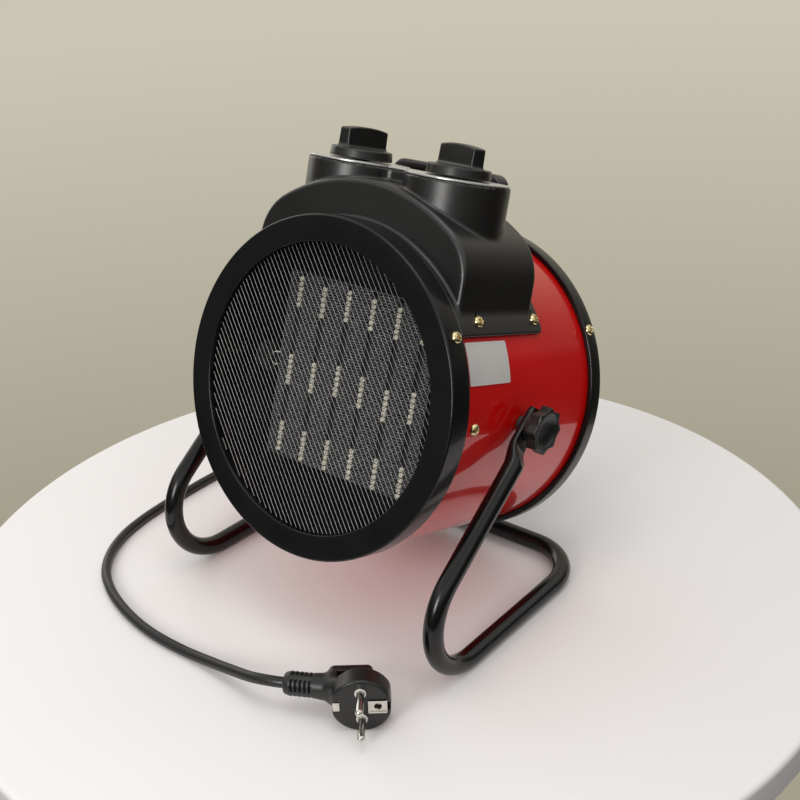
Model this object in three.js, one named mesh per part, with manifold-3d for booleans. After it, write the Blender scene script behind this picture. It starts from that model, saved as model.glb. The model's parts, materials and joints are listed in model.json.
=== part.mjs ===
// A fan heater: a round barrel with a ceramic heating block that tilts in a bent tube stand.
// Lengths are in millimetres and angles in degrees. The outlet faces -Y and the table is Z = 0.
// The barrel is made level about its own centre, where the tilt axis X crosses the barrel's
// axis Y, and a group lifts and tilts it to the pose that it rests in.

import * as THREE from 'three';
import { mergeVertices } from 'three/addons/utils/BufferGeometryUtils.js';
import Module from 'manifold-3d';

const wasm = await Module();
wasm.setup();

// Driving dimensions

const restTilt = 18;
const pivotHeight = 142;
const barrelFront = 80;
const barrelRear = 92.5;
const ringRadius = 110;
const drumRadius = 106;
const legClear = 7.5;
const kneeReach = 187;
const crossbarY = 67;
const rearTaper = 4.6; // the loop on the floor is narrower by this on each side at the crossbar
const gap = 0.3;
const overrun = 4;
const weldDistance = 0.0005;

// Number of flats on round pieces

const sides = { barrel: 60, tower: 40, nut: 6, tube: 12, knob: 30, part: 18, screw: 10, cord: 8 };

// Sizes of each sub-part

const ring = { mouth: 93, face: 2.6, edge: 1.4, frontDepth: 17.5, rearDepth: 11.5 };
const grille = { thickness: 1.2, slot: 5.2, bar: 2.6, clear: 91, edge: 0.5, frontLean: 38, rearLean: 0 };
const drum = { wall: 1.2, flange: 9 };
const screw = { head: 3.9, headHeight: 2.2, shank: 1.7, length: 8, shortLength: 4 };
const ringScrews = { angles: [60, 180, 300], frontInset: 10.7, rearInset: 7.5 };
const tube = { radius: 6.4, bend: 38.5, steps: 96 };
const tubeEnd = { thickness: 4, halfWidth: 8, flat: 14, flare: 16, overhang: 4.5, step: 0.2 };
const clamp = { stud: 3, nutRadius: 7, nutDepth: 6, tip: 1.5, spacer: 5 };
const starKnob = { radius: 14.6, wave: 1.4, lobes: 8, points: 48, neck: 10, neckHeight: 4.5, head: 7.5 };
const pan = { rim: 1, rimFront: 54, plate: 33, plateThickness: 1, screwInset: 4 };
const block = { front: 44, depth: 18, halfWidth: 64, halfHeight: 65 };
const bars = { count: 6, pitch: 21.35, width: 4, depth: 16, end: 3 };
const blockBracket = { length: 96, leg: 9, thickness: 1.2 };
const cutout = { radius: 8, height: 5, x: -84, flange: 10.5, flangeHeight: 1 };
const rotor = { hub: 17, tip: 90, bladeCount: 5, centre: 10, hubHalf: 8, blade: 1.6, cap: 3 };
const bladeShape = { rootChord: 26, tipChord: 52, rootPitch: 50, tipPitch: 24, steps: 6 };
const motor = { radius: 34, front: 26, depth: 30, shaft: 3, boss: 10, bossHeight: 6, shaftFront: 6 };
const motorStrip = { width: 26, thickness: 2, tab: 16 };
const housing = { halfWidth: 86, crown: 134, crownRadius: 130, shoulder: 36 };
const housingBody = { front: 57, rear: 22, wall: 2.6, edge: 4, base: 40 };
const saddle = { lift: 3, footDrop: 8.5, rear: 29 };
const saddleScrews = { clear: 3.3, front: 40.5, rear: 21.5 };
const tower = { x: 40.5, y: -18, radius: 34, base: 96, top: 141.6, waist: 10 };
const facePlate = { thickness: 1.2, inset: 0.6 };
const control = { neck: 5, neckTop: 0.5, bodyX: 32, bodyY: 28, bodyHeight: 24, shaft: 3, shaftDepth: 14 };
const knob = { radius: 21, top: 20, skirt: 6.5, height: 20.5, lift: 0.9, gripLength: 37, gripWidth: 10 };
const knobInside = { bore: 14, crown: 2.4, rimShare: 0.7 };
const knobTurn = { thermostat: 86, selector: -17.5 };
const handle = { halfWidth: 46, leg: 9, depth: 12, top: 148, bar: 7.5, bottom: 103, corner: 9, edge: 2 };
const terminal = { width: 40, depth: 16, height: 9, y: -27 };
const label = { belowScrews: 6.4, sweep: 14.2, front: 57.5, rear: 14.5, thickness: 0.3, steps: 6 };
const relief = { x: -62, z: 100, neck: 6, collar: 8, collarDepth: 3, length: 30, tip: 4.6, inside: 2 };
const cord = { radius: 3.5, leadSteps: 36, tailSteps: 60 };
const coil = { x: -134, y: 215, middle: 40, across: 2, layers: 2 };
const plug = { x: 101.7, y: -157.5, turn: 39, nod: 0, radius: 18.5, face: 14 };
const plugArm = { depth: 15, lean: 11, radius: 9, reach: 48.5, start: 20, tip: 6.8 };
const plugBack = { depth: 27, width: 27, height: 17, shift: -7 };
const pin = { radius: 2.4, length: 19, spread: 9.5, root: 6 };
const earth = { width: 11, height: 9, thickness: 1, x: 10, hole: 2.4, bridge: 3, bridgeHeight: 4 };
const earthTab = { width: 4, height: 6, x: -15 };

// Values worked out from them

const legSpread = ringRadius + legClear;
const flatPlace = legSpread - tube.radius + tubeEnd.thickness / 2;
const saddleRadius = drumRadius + saddle.lift;
const saddleFront = barrelFront - ring.frontDepth - gap;
const drumBore = drumRadius - drum.wall;
const ringBore = drumRadius + gap;
const drumFront = barrelFront - ring.face - grille.thickness - 2 * gap;
const drumRear = barrelRear - ring.face - grille.thickness - 2 * gap;
const radians = THREE.MathUtils.degToRad;
const saddleAngle = THREE.MathUtils.radToDeg(
  Math.asin((housing.halfWidth + saddleScrews.clear) / saddleRadius));
const saddleFoot = polar(saddleRadius, saddleAngle)[1] - saddle.footDrop;
const coilOuter = coil.middle + coil.across * cord.radius;
const coilInner = coil.middle - coil.across * cord.radius;
const coilHeight = coil.layers * 2 * cord.radius;
const plugHeight = plug.radius * Math.cos(radians(plug.nod));

// Routes of the free cord, by hand, in the assembly's frame. The lead's start and the tail's
// end are worked out from the pieces that they meet.

const leadRoute = [
  [-62, 94.9, 216.4], [-62, 109, 211.2], [-62.5, 122.5, 204.6], [-63.5, 134, 195],
  [-65, 143, 182], [-67, 149, 165], [-69.3, 152.5, 146], [-71.8, 154.5, 126],
  [-74.3, 155.6, 106], [-76.8, 156, 86], [-79.3, 156.4, 66], [-81.6, 156.8, 50],
  [-83.6, 157.5, 36.5], [-85.4, 159.9, 24.5], [-87.1, 165.6, 14.6], [-88.7, 173.6, 7.6],
  [-89.8, 182, 4.4], [-90.5, 189.6, 3.5],
];
const tailRoute = [
  [-177.5, 189.6, 3.5], [-178.5, 170, 3.5], [-180.5, 145, 3.5], [-183.5, 118, 3.5],
  [-187, 90, 3.5], [-190.5, 62, 3.5], [-193.5, 34, 3.5], [-195.8, 8, 3.5],
  [-196.4, -12, 3.5], [-195.6, -34, 3.5], [-194.4, -57, 3.5], [-191.8, -80, 3.5],
  [-185.8, -103.5, 3.5], [-174, -125.8, 3.5], [-156.5, -144.2, 3.5], [-133.5, -157.4, 3.5],
  [-108, -166.2, 3.5], [-82, -171.4, 3.5], [-59.6, -172.9, 3.5], [-40, -172.4, 3.6],
  [-19.2, -172, 5.6], [4.1, -173, 10], [24.5, -174.4, 15], [35, -173.8, 17.5],
];

// Materials

function paint(colour, roughness, metalness) {
  return new THREE.MeshStandardMaterial({ color: colour, roughness, metalness });
}

const materials = {
  redPaint: paint('#a30407', 0.22, 0.1),
  blackPaint: paint('#1c1c1d', 0.5, 0.1),
  tubePaint: paint('#171717', 0.32, 0.1),
  plastic: paint('#242322', 0.48, 0),
  knobPlastic: paint('#1e1d1c', 0.5, 0),
  mesh: paint('#1b1b1b', 0.45, 0.3),
  silver: paint('#c9c8c4', 0.3, 0.8),
  steel: paint('#9a9a98', 0.38, 0.9),
  zincYellow: paint('#b9a05a', 0.32, 0.9),
  fins: paint('#a9a9aa', 0.4, 0.85),
  ceramic: paint('#d9d2b4', 0.6, 0),
  heatPlastic: paint('#2a2a2a', 0.6, 0),
  rubber: paint('#161616', 0.62, 0),
  brass: paint('#c8c6c0', 0.25, 0.95),
};

// Solids: every shape becomes a closed body that can be cut and joined

function signedVolume(points, corners) {
  let total = 0;
  for (let i = 0; i < corners.length; i += 3) {
    const a = new THREE.Vector3().fromArray(points, 3 * corners[i]);
    const b = new THREE.Vector3().fromArray(points, 3 * corners[i + 1]);
    const c = new THREE.Vector3().fromArray(points, 3 * corners[i + 2]);
    total += a.dot(b.cross(c));
  }
  return total;
}

function asSolid(geometry) {
  const bare = new THREE.BufferGeometry();
  bare.setAttribute('position', geometry.getAttribute('position'));
  bare.setIndex(geometry.index);
  const welded = mergeVertices(bare, weldDistance);
  const all = welded.index.array;
  const corners = [];
  for (let i = 0; i < all.length; i += 3) {
    const [a, b, c] = all.slice(i, i + 3);
    if (a !== b && b !== c && c !== a) corners.push(a, b, c);
  }
  const points = welded.getAttribute('position').array;
  if (signedVolume(points, corners) < 0) corners.reverse();
  return new wasm.Manifold(new wasm.Mesh({
    numProp: 3,
    vertProperties: new Float32Array(points),
    triVerts: new Uint32Array(corners),
  }));
}

function asGeometry(solid) {
  const mesh = solid.getMesh();
  const geometry = new THREE.BufferGeometry();
  geometry.setAttribute('position', new THREE.BufferAttribute(mesh.vertProperties, mesh.numProp));
  geometry.setIndex(new THREE.BufferAttribute(mesh.triVerts, 1));
  geometry.computeVertexNormals();
  return geometry;
}

function join(...solids) {
  return solids.reduce((sum, next) => sum.add(next));
}

function cut(solid, ...tools) {
  return tools.reduce((rest, tool) => rest.subtract(tool), solid);
}

// Basic shapes. A span is [from, to] along the axis named.

function block3(spanX, spanY, spanZ) {
  const spans = [spanX, spanY, spanZ];
  const size = spans.map(([from, to]) => to - from);
  const middle = spans.map(([from, to]) => (from + to) / 2);
  return asSolid(new THREE.BoxGeometry(...size).translate(...middle));
}

function aimed(geometry, direction) {
  const turn = new THREE.Quaternion().setFromUnitVectors(
    new THREE.Vector3(0, 1, 0), new THREE.Vector3(...direction).normalize());
  return geometry.applyQuaternion(turn);
}

// Profile points are [radius, height], turned about the Y axis
function turned(profile, flats = sides.barrel) {
  const points = [...profile, profile[0]].map(([r, y]) => new THREE.Vector2(r, y));
  return new THREE.LatheGeometry(points, flats);
}

function rod(radius, from, to, flats = sides.part) {
  return turned([[0, from], [radius, from], [radius, to], [0, to]], flats);
}

function rodX(radius, from, to, y, z, flats) {
  return asSolid(aimed(rod(radius, from, to, flats), [1, 0, 0]).translate(0, y, z));
}

function rodY(radius, from, to, x, z, flats) {
  return asSolid(rod(radius, from, to, flats).translate(x, 0, z));
}

function rodZ(radius, from, to, x, y, flats) {
  return asSolid(aimed(rod(radius, from, to, flats), [0, 0, 1]).translate(x, y, 0));
}

// Outlines: points of an arc, a closed shape without doubled points, and a round one

function arc(x, z, radius, from, to, steps) {
  const points = [];
  for (let i = 0; i <= steps; i += 1) {
    const angle = THREE.MathUtils.lerp(from, to, i / steps);
    points.push([x + radius * Math.cos(angle), z + radius * Math.sin(angle)]);
  }
  return points;
}

function outline(list) {
  const points = list.map(([x, z]) => new THREE.Vector2(x, z));
  const far = (a, b) => a.distanceTo(b) > 10 * weldDistance;
  return new THREE.Shape(points.filter((point, i) => far(point, points[(i + 1) % points.length])));
}

function roundSection(radius, flats) {
  return outline(arc(0, 0, radius, 0, 2 * Math.PI, flats));
}

// A flat shape drawn in X and Z, made solid between two values of Y
function slab(shape, fromY, toY, edge = 0) {
  const geometry = new THREE.ExtrudeGeometry(shape, {
    depth: toY - fromY - 2 * edge,
    bevelEnabled: edge > 0,
    bevelThickness: edge,
    bevelSize: edge,
    bevelOffset: -edge,
    bevelSegments: 2,
    steps: 1,
  });
  return geometry.rotateX(Math.PI / 2).translate(0, toY - edge, 0);
}

function polar(radius, angle) {
  return [radius * Math.sin(radians(angle)), radius * Math.cos(radians(angle))];
}

// A hole or rod along a radius of the barrel, its angle measured from the top towards +X
function radial(geometry, angle, y, radius) {
  const [x, z] = polar(1, angle);
  return aimed(geometry, [x, 0, z]).translate(radius * x, y, radius * z);
}

function screwHole(angle, y) {
  const half = screw.length + screw.headHeight;
  const geometry = rod(screw.shank + gap, -half, half, sides.screw);
  return asSolid(radial(geometry, angle, y, drumRadius));
}

function screwGeometry(length) {
  const { head, headHeight, shank } = screw;
  const domeShares = [[0, 1], [0.55, 0.92], [0.9, 0.55], [1, 0]];
  const dome = domeShares.map(([r, y]) => [r * head, y * headHeight]);
  return turned([...dome, [shank, 0], [shank, -length], [0, -length]], sides.screw);
}

function radialScrew(angle, y, seat, length = screw.length) {
  return radial(screwGeometry(length), angle, y, seat + gap);
}

// The tree of pieces

const heater = new THREE.Group();
const assembly = new THREE.Group();
const barrel = new THREE.Group();
const plugGroup = new THREE.Group();
heater.add(assembly);
assembly.add(barrel, plugGroup);
barrel.position.set(0, 0, pivotHeight);
barrel.rotation.x = -radians(restTilt);
plugGroup.position.set(plug.x, plug.y, plugHeight);
plugGroup.rotation.set(radians(plug.nod), 0, radians(plug.turn), 'ZXY');

function add(group, name, shape, material) {
  const geometry = shape.isBufferGeometry ? asGeometry(asSolid(shape)) : asGeometry(shape);
  const mesh = new THREE.Mesh(geometry, material);
  mesh.name = name;
  group.add(mesh);
}

// The origin is below the middle of the barrel's reach from front to rear
function centreOnOrigin() {
  const tilt = radians(restTilt);
  const reach = (length) => (length - ring.edge) * Math.cos(tilt)
    + (ringRadius - ring.edge) * Math.sin(tilt) + ring.edge;
  assembly.position.y = (reach(barrelFront) - reach(barrelRear)) / 2;
}

// Stand: one tube from pivot to pivot, bent round under the barrel, its ends pressed flat

class Bend extends THREE.Curve {
  constructor(before, corner, after, radius) {
    super();
    const back = before.clone().sub(corner).normalize();
    const on = after.clone().sub(corner).normalize();
    const half = back.angleTo(on) / 2;
    const setback = radius / Math.tan(half);
    this.start = corner.clone().addScaledVector(back, setback);
    this.end = corner.clone().addScaledVector(on, setback);
    const inward = back.clone().add(on).normalize();
    this.centre = corner.clone().addScaledVector(inward, radius / Math.sin(half));
    this.spoke = this.start.clone().sub(this.centre);
    this.sweep = Math.PI - 2 * half;
    this.axis = this.spoke.clone().cross(this.end.clone().sub(this.centre)).normalize();
  }

  getPoint(share, target = new THREE.Vector3()) {
    return target.copy(this.spoke).applyAxisAngle(this.axis, this.sweep * share).add(this.centre);
  }
}

function bentPath(corners, radius) {
  const path = new THREE.CurvePath();
  let from = corners[0];
  for (let i = 1; i < corners.length - 1; i += 1) {
    const bend = new Bend(corners[i - 1], corners[i], corners[i + 1], radius);
    path.add(new THREE.LineCurve3(from, bend.start));
    path.add(bend);
    from = bend.end;
  }
  path.add(new THREE.LineCurve3(from, corners[corners.length - 1]));
  return path;
}

const legStart = new THREE.Vector3(0, -kneeReach, tube.radius);
const legEnd = new THREE.Vector3(0, 0, pivotHeight);
const legDirection = legEnd.clone().sub(legStart).normalize();
const tubeTip = legEnd.clone().addScaledVector(legDirection, tubeEnd.overhang);

// Near each end the round section narrows across X, flush with the leg's inner side, and
// widens in the leg's own plane
function pressEndsFlat(geometry) {
  const places = geometry.getAttribute('position');
  const across = new THREE.Vector3(0, -legDirection.z, legDirection.y);
  const point = new THREE.Vector3();
  for (let i = 0; i < places.count; i += 1) {
    point.fromBufferAttribute(places, i);
    if (point.z < tube.bend) continue;
    const side = Math.sign(point.x);
    const along = legEnd.clone().sub(new THREE.Vector3(0, point.y, point.z)).dot(legDirection);
    const flatness = 1 - THREE.MathUtils.smoothstep(along, tubeEnd.flat, tubeEnd.flat + tubeEnd.flare);
    if (flatness === 0) continue;
    const halfThick = THREE.MathUtils.lerp(tube.radius, tubeEnd.thickness / 2, flatness);
    const widen = THREE.MathUtils.lerp(tube.radius, tubeEnd.halfWidth, flatness) / tube.radius;
    const offset = legEnd.clone().sub(point).setX(0).dot(across);
    point.addScaledVector(across, offset * (1 - widen));
    const middle = side * THREE.MathUtils.lerp(legSpread, flatPlace, flatness);
    const sideways = point.x - side * legSpread;
    point.x = middle + THREE.MathUtils.clamp(sideways, -halfThick, halfThick);
    places.setXYZ(i, point.x, point.y, point.z);
  }
  return geometry;
}

function makeStand() {
  const at = (x, base) => base.clone().setX(x);
  const corner = (x, y) => new THREE.Vector3(x, y, tube.radius);
  const rearSpread = legSpread - rearTaper;
  const path = bentPath([
    at(-legSpread, tubeTip), corner(-legSpread, -kneeReach), corner(-rearSpread, crossbarY),
    corner(rearSpread, crossbarY), corner(legSpread, -kneeReach), at(legSpread, tubeTip),
  ], tube.bend);
  const swept = new THREE.ExtrudeGeometry(roundSection(tube.radius, sides.tube), {
    steps: tube.steps, extrudePath: path, bevelEnabled: false,
  });
  let stand = asSolid(pressEndsFlat(swept));
  const discHalf = tubeEnd.thickness / 2 - tubeEnd.step;
  for (const side of [-1, 1]) {
    const middle = side * flatPlace;
    stand = join(stand, rodX(tubeEnd.halfWidth - tubeEnd.step, middle - discHalf, middle + discHalf,
      tubeTip.y, tubeTip.z));
    stand = cut(stand, rodX(clamp.stud + gap, middle - tube.radius, middle + tube.radius,
      legEnd.y, legEnd.z));
  }
  add(assembly, 'stand_tube', stand, materials.tubePaint);
}

// Barrel: painted drum, two end rings and two grilles

function ringProfile(depth) {
  const { mouth, face, edge } = ring;
  const rounded = [0, 30, 60, 90].map((angle) => [
    ringRadius - edge + edge * Math.sin(radians(angle)),
    edge - edge * Math.cos(radians(angle)),
  ]);
  return [[mouth, 0], ...rounded, [ringRadius, depth], [ringBore, depth], [ringBore, face], [mouth, face]];
}

function makeRing(name, face, depth, inset, side) {
  const profile = ringProfile(depth).map(([r, t]) => [r, side * (face - t)]);
  const y = side * (face - inset);
  const holes = ringScrews.angles.map((angle) => screwHole(angle, y));
  add(barrel, name, cut(asSolid(turned(profile)), ...holes), materials.blackPaint);
  ringScrews.angles.forEach((angle, i) => {
    add(barrel, `${name}_screw_${i + 1}`, radialScrew(angle, y, ringRadius), materials.zincYellow);
  });
}

// A disc with parallel slots, as long as the ring's mouth lets them be
function grilleShape(lean) {
  const shape = roundSection(ringBore - gap - grille.edge, sides.barrel);
  const pitch = grille.slot + grille.bar;
  const last = Math.floor((grille.clear - grille.slot / 2) / pitch);
  for (let i = -last; i <= last; i += 1) {
    const reach = Math.abs(i * pitch) + grille.slot / 2;
    const half = Math.sqrt(Math.max(grille.clear ** 2 - reach ** 2, 0));
    if (half < pitch) continue;
    const left = i * pitch - grille.slot / 2;
    const right = left + grille.slot;
    const corners = [[left, -half], [left, half], [right, half], [right, -half]];
    const turn = radians(lean);
    const hole = new THREE.Path(corners.map(([x, z]) => new THREE.Vector2(
      x * Math.cos(turn) + z * Math.sin(turn), z * Math.cos(turn) - x * Math.sin(turn))));
    hole.closePath();
    shape.holes.push(hole);
  }
  return shape;
}

function makeGrilles() {
  const inFrom = barrelFront - ring.face - gap;
  add(barrel, 'front_grille', slab(grilleShape(-grille.frontLean), -inFrom, grille.thickness - inFrom),
    materials.mesh);
  const outFrom = barrelRear - ring.face - gap;
  add(barrel, 'rear_grille', slab(grilleShape(grille.rearLean), outFrom - grille.thickness, outFrom),
    materials.mesh);
}

function makeDrum() {
  const lip = drumRadius - drum.flange;
  const profile = [
    [lip, -drumFront], [drumRadius, -drumFront], [drumRadius, drumRear], [drumBore, drumRear],
    [drumBore, drum.wall - drumFront], [lip, drum.wall - drumFront],
  ];
  const holes = [
    ...ringScrews.angles.map((angle) => screwHole(angle, ringScrews.frontInset - barrelFront)),
    ...ringScrews.angles.map((angle) => screwHole(angle, barrelRear - ringScrews.rearInset)),
    ...saddlePlaces().map(([angle, y]) => screwHole(angle, y)),
    ...[-90, 90].map((angle) => screwHole(angle, pan.screwInset - pan.rimFront)),
    rodX(clamp.stud + gap, -ringRadius, ringRadius, 0, 0),
  ];
  add(barrel, 'drum_shell', cut(asSolid(turned(profile)), ...holes), materials.redPaint);
}

// Heating block: a plate with a window carries the finned block and its ceramic bars

function blockSlots() {
  const places = [];
  for (let i = 0; i < bars.count; i += 1) places.push((i - (bars.count - 1) / 2) * bars.pitch);
  return places;
}

function makeHeatingBlock() {
  const rimRadius = drumBore - gap;
  const plate = pan.plate;
  const back = plate - pan.plateThickness;
  const dish = asSolid(turned([
    [0, -plate], [rimRadius - pan.rim, -plate], [rimRadius - pan.rim, -pan.rimFront],
    [rimRadius, -pan.rimFront], [rimRadius, -back], [0, -back],
  ]));
  const opening = block3(
    [-block.halfWidth - gap, block.halfWidth + gap], [-plate - overrun, overrun - back],
    [-block.halfHeight - gap, block.halfHeight + gap]);
  const holes = [-90, 90].map((angle) => screwHole(angle, pan.screwInset - pan.rimFront));
  add(barrel, 'block_plate', cut(dish, opening, ...holes), materials.blackPaint);
  [-90, 90].forEach((angle, i) => {
    add(barrel, `plate_screw_${i + 1}`, radialScrew(angle, pan.screwInset - pan.rimFront, drumRadius),
      materials.zincYellow);
  });

  const spanY = [-block.front, block.depth - block.front];
  const core = block3([-block.halfWidth, block.halfWidth], spanY, [-block.halfHeight, block.halfHeight]);
  const barHalf = block.halfHeight - bars.end - gap;
  const slotHalf = bars.width / 2 + gap;
  const slots = blockSlots().map((x) => block3([x - slotHalf, x + slotHalf],
    [spanY[0] - overrun, spanY[1] + overrun], [-barHalf - gap, barHalf + gap]));
  add(barrel, 'fin_block', cut(core, ...slots), materials.fins);
  const inset = (block.depth - bars.depth) / 2;
  blockSlots().forEach((x, i) => {
    add(barrel, `ceramic_bar_${i + 1}`, block3(
      [x - bars.width / 2, x + bars.width / 2], [inset - block.front, inset + bars.depth - block.front],
      [-barHalf, barHalf]), materials.ceramic);
  });
  makeBlockBrackets(back);
  makeCutout(plate);
}

function makeBlockBrackets(back) {
  const { length, leg, thickness } = blockBracket;
  const from = gap - back;
  for (const [name, side] of [['block_bracket_top', 1], ['block_bracket_bottom', -1]]) {
    const near = block.halfHeight + gap;
    const shelf = [near, near + thickness].map((z) => side * z).sort((a, b) => a - b);
    const flange = [near, near + leg].map((z) => side * z).sort((a, b) => a - b);
    const spanX = [-length / 2, length / 2];
    add(barrel, name, join(block3(spanX, [from, from + leg], shelf),
      block3(spanX, [from, from + thickness], flange)), materials.steel);
  }
}

function makeCutout(plate) {
  const { radius, height, flange, flangeHeight, x } = cutout;
  const seat = -plate - gap;
  const profile = [[0, seat], [flange, seat], [flange, seat - flangeHeight],
    [radius, seat - flangeHeight], [radius, seat - height], [0, seat - height]];
  add(barrel, 'thermal_cutout', turned(profile, sides.part).translate(x, 0, 0), materials.heatPlastic);
}

// Fan: a motor on a strip across the drum, its shaft and the rotor pressed on to it

function bladeGeometry() {
  const { rootChord, tipChord, rootPitch, tipPitch, steps } = bladeShape;
  const root = rotor.hub - rotor.blade;
  const length = rotor.tip - root;
  const geometry = new THREE.BoxGeometry(1, rotor.blade, length, 1, 1, steps);
  const places = geometry.getAttribute('position');
  for (let i = 0; i < places.count; i += 1) {
    const share = places.getZ(i) / length + 0.5;
    const chord = THREE.MathUtils.lerp(rootChord, tipChord, share);
    const pitch = radians(THREE.MathUtils.lerp(rootPitch, tipPitch, share));
    const along = places.getX(i) * chord;
    const thick = places.getY(i);
    places.setXYZ(i, along * Math.cos(pitch) - thick * Math.sin(pitch),
      rotor.centre + along * Math.sin(pitch) + thick * Math.cos(pitch), root + share * length);
  }
  return geometry;
}

function makeRotor() {
  const hubFrom = rotor.centre - rotor.hubHalf;
  const hubTo = rotor.centre + rotor.hubHalf;
  let fan = asSolid(rod(rotor.hub, hubFrom, hubTo, sides.knob));
  for (let i = 0; i < rotor.bladeCount; i += 1) {
    fan = join(fan, asSolid(bladeGeometry().rotateY((2 * Math.PI * i) / rotor.bladeCount)));
  }
  const bore = rodY(motor.shaft + gap, hubFrom + rotor.cap - gap, hubTo + overrun, 0, 0);
  add(barrel, 'fan_rotor', cut(fan, bore), materials.heatPlastic);

  const motorEnd = motor.front + motor.depth + motor.bossHeight;
  add(barrel, 'motor_shaft', rod(motor.shaft, hubFrom + rotor.cap, motorEnd - motor.shaft),
    materials.steel);
}

function makeMotor() {
  const { radius, front, depth, boss, bossHeight, shaft, shaftFront } = motor;
  const back = front + depth;
  const profile = [
    [shaft + gap, front - shaftFront + gap], [boss, front - shaftFront + gap], [boss, front],
    [radius, front], [radius, back], [boss, back], [boss, back + bossHeight],
    [shaft + gap, back + bossHeight],
  ];
  add(barrel, 'motor_body', turned(profile, sides.knob), materials.steel);

  const stripY = back + gap;
  const half = motorStrip.width / 2;
  const reach = Math.sqrt((drumBore - gap) ** 2 - half ** 2);
  const strip = block3([-reach, reach], [stripY, stripY + motorStrip.thickness], [-half, half]);
  const tabs = [-1, 1].map((side) => {
    const span = [side * reach, side * (reach - motorStrip.thickness)].sort((a, b) => a - b);
    return block3(span, [stripY, stripY + motorStrip.tab], [-half, half]);
  });
  const hole = rodY(boss + gap, back, stripY + motorStrip.thickness + overrun, 0, 0, sides.knob);
  add(barrel, 'motor_bracket', cut(join(strip, ...tabs), hole), materials.steel);
}

// Tilt clamps: on each side a star knob's stud runs through the tube's flat end and a spacer
// into a nut inside the drum

function starShape() {
  const points = [];
  for (let i = 0; i < starKnob.points; i += 1) {
    const angle = (2 * Math.PI * i) / starKnob.points;
    const radius = starKnob.radius + starKnob.wave * Math.cos(starKnob.lobes * angle);
    points.push([radius * Math.cos(angle), radius * Math.sin(angle)]);
  }
  return outline(points);
}

function makeClamp(word, side) {
  const out = [side, 0, 0];
  const aim = (geometry) => asSolid(aimed(geometry, out));
  const flatInner = flatPlace - tubeEnd.thickness / 2;
  const flatOuter = flatPlace + tubeEnd.thickness / 2;
  const neckFrom = flatOuter + gap;
  const headFrom = neckFrom + starKnob.neckHeight;
  const headTo = headFrom + starKnob.head;
  const nutFace = Math.sqrt(drumBore ** 2 - clamp.nutRadius ** 2) - gap;
  const nutBack = nutFace - clamp.nutDepth;
  const studEnd = headTo - starKnob.head / 2;

  const head = asSolid(aimed(slab(starShape(), headFrom, headTo, starKnob.wave / 2), out));
  const neck = aim(rod(starKnob.neck, neckFrom, headFrom + gap));
  const socket = aim(rod(clamp.stud + gap, neckFrom - overrun, studEnd + gap));
  add(barrel, `star_knob_${word}`, cut(join(head, neck), socket), materials.knobPlastic);
  add(barrel, `clamp_stud_${word}`, aim(rod(clamp.stud, nutBack - clamp.tip, studEnd)), materials.steel);

  const throughHole = aim(rod(clamp.stud + gap, nutBack - overrun, flatInner + overrun));
  const spacer = aim(rod(clamp.spacer, drumRadius + gap, flatInner - gap));
  add(barrel, `spacer_${word}`, cut(spacer, throughHole), materials.heatPlastic);
  const nut = aim(rod(clamp.nutRadius, nutBack, nutFace, sides.nut));
  add(barrel, `anchor_nut_${word}`, cut(nut, throughHole), materials.steel);
}

// Control housing: an arch over the drum with two round towers under the knobs

function archShape(inset) {
  const { halfWidth, crown, crownRadius, shoulder } = housing;
  const crownZ = crown - crownRadius;
  const shoulderX = halfWidth - shoulder;
  const shoulderZ = crownZ + Math.sqrt((crownRadius - shoulder) ** 2 - shoulderX ** 2);
  const lean = Math.atan2(shoulderZ - crownZ, shoulderX);
  const small = shoulder - inset;
  return outline([
    [halfWidth - inset, housingBody.base],
    ...arc(shoulderX, shoulderZ, small, 0, lean, 5),
    ...arc(0, crownZ, crownRadius - inset, lean, Math.PI - lean, 14),
    ...arc(-shoulderX, shoulderZ, small, Math.PI - lean, Math.PI, 5),
    [inset - halfWidth, housingBody.base],
  ]);
}

function saddlePlaces() {
  const { front, rear } = saddleScrews;
  return [-1, 1].flatMap((side) => [-front, rear].map((y) => [side * saddleAngle, y]));
}

function towers(inset, from, to) {
  const { x, y, radius, waist } = tower;
  const across = [y - waist + inset, y + waist - inset];
  const rounds = [-x, x].map((middle) => rodZ(radius - inset, from, to, middle, y, sides.tower));
  return join(...rounds, block3([-x, x], across, [from, to]));
}

function makeHousing() {
  const { front, rear, wall, edge } = housingBody;
  const band = asSolid(rod(saddleRadius, -saddleFront, saddle.rear, sides.barrel));
  const above = block3([-ringRadius, ringRadius], [-saddleFront - overrun, saddle.rear + overrun],
    [saddleFoot, ringRadius + overrun]);
  const arch = asSolid(slab(archShape(0), -front, rear, edge));
  const outside = join(arch, band.intersect(above), towers(0, tower.base, tower.top));
  const inside = join(asSolid(slab(archShape(wall), wall - front, rear - wall)),
    towers(wall, tower.base - overrun, tower.top - wall));
  const drumTool = asSolid(rod(ringBore, -barrelFront, barrelRear, sides.barrel));
  const necks = [-tower.x, tower.x].map((x) => rodZ(control.neck + gap, tower.base,
    tower.top + overrun, x, tower.y));
  const cordHole = rodY(relief.neck + gap, rear - wall - overrun, rear + overrun, relief.x, relief.z);
  const screws = saddlePlaces().map(([angle, y]) => screwHole(angle, y));
  add(barrel, 'control_housing', cut(outside, inside, drumTool, ...necks, cordHole, ...screws),
    materials.plastic);
  saddlePlaces().forEach(([angle, y], i) => {
    add(barrel, `housing_screw_${i + 1}`, radialScrew(angle, y, saddleRadius, screw.shortLength),
      materials.zincYellow);
  });
}

const plateFrom = tower.top + gap;
const plateTo = plateFrom + facePlate.thickness;

function makeFacePlate() {
  const holes = [-tower.x, tower.x].map((x) => rodZ(control.neck + gap, plateFrom - overrun,
    plateTo + overrun, x, tower.y));
  add(barrel, 'face_plate', cut(towers(facePlate.inset, plateFrom, plateTo), ...holes), materials.silver);
}

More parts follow.
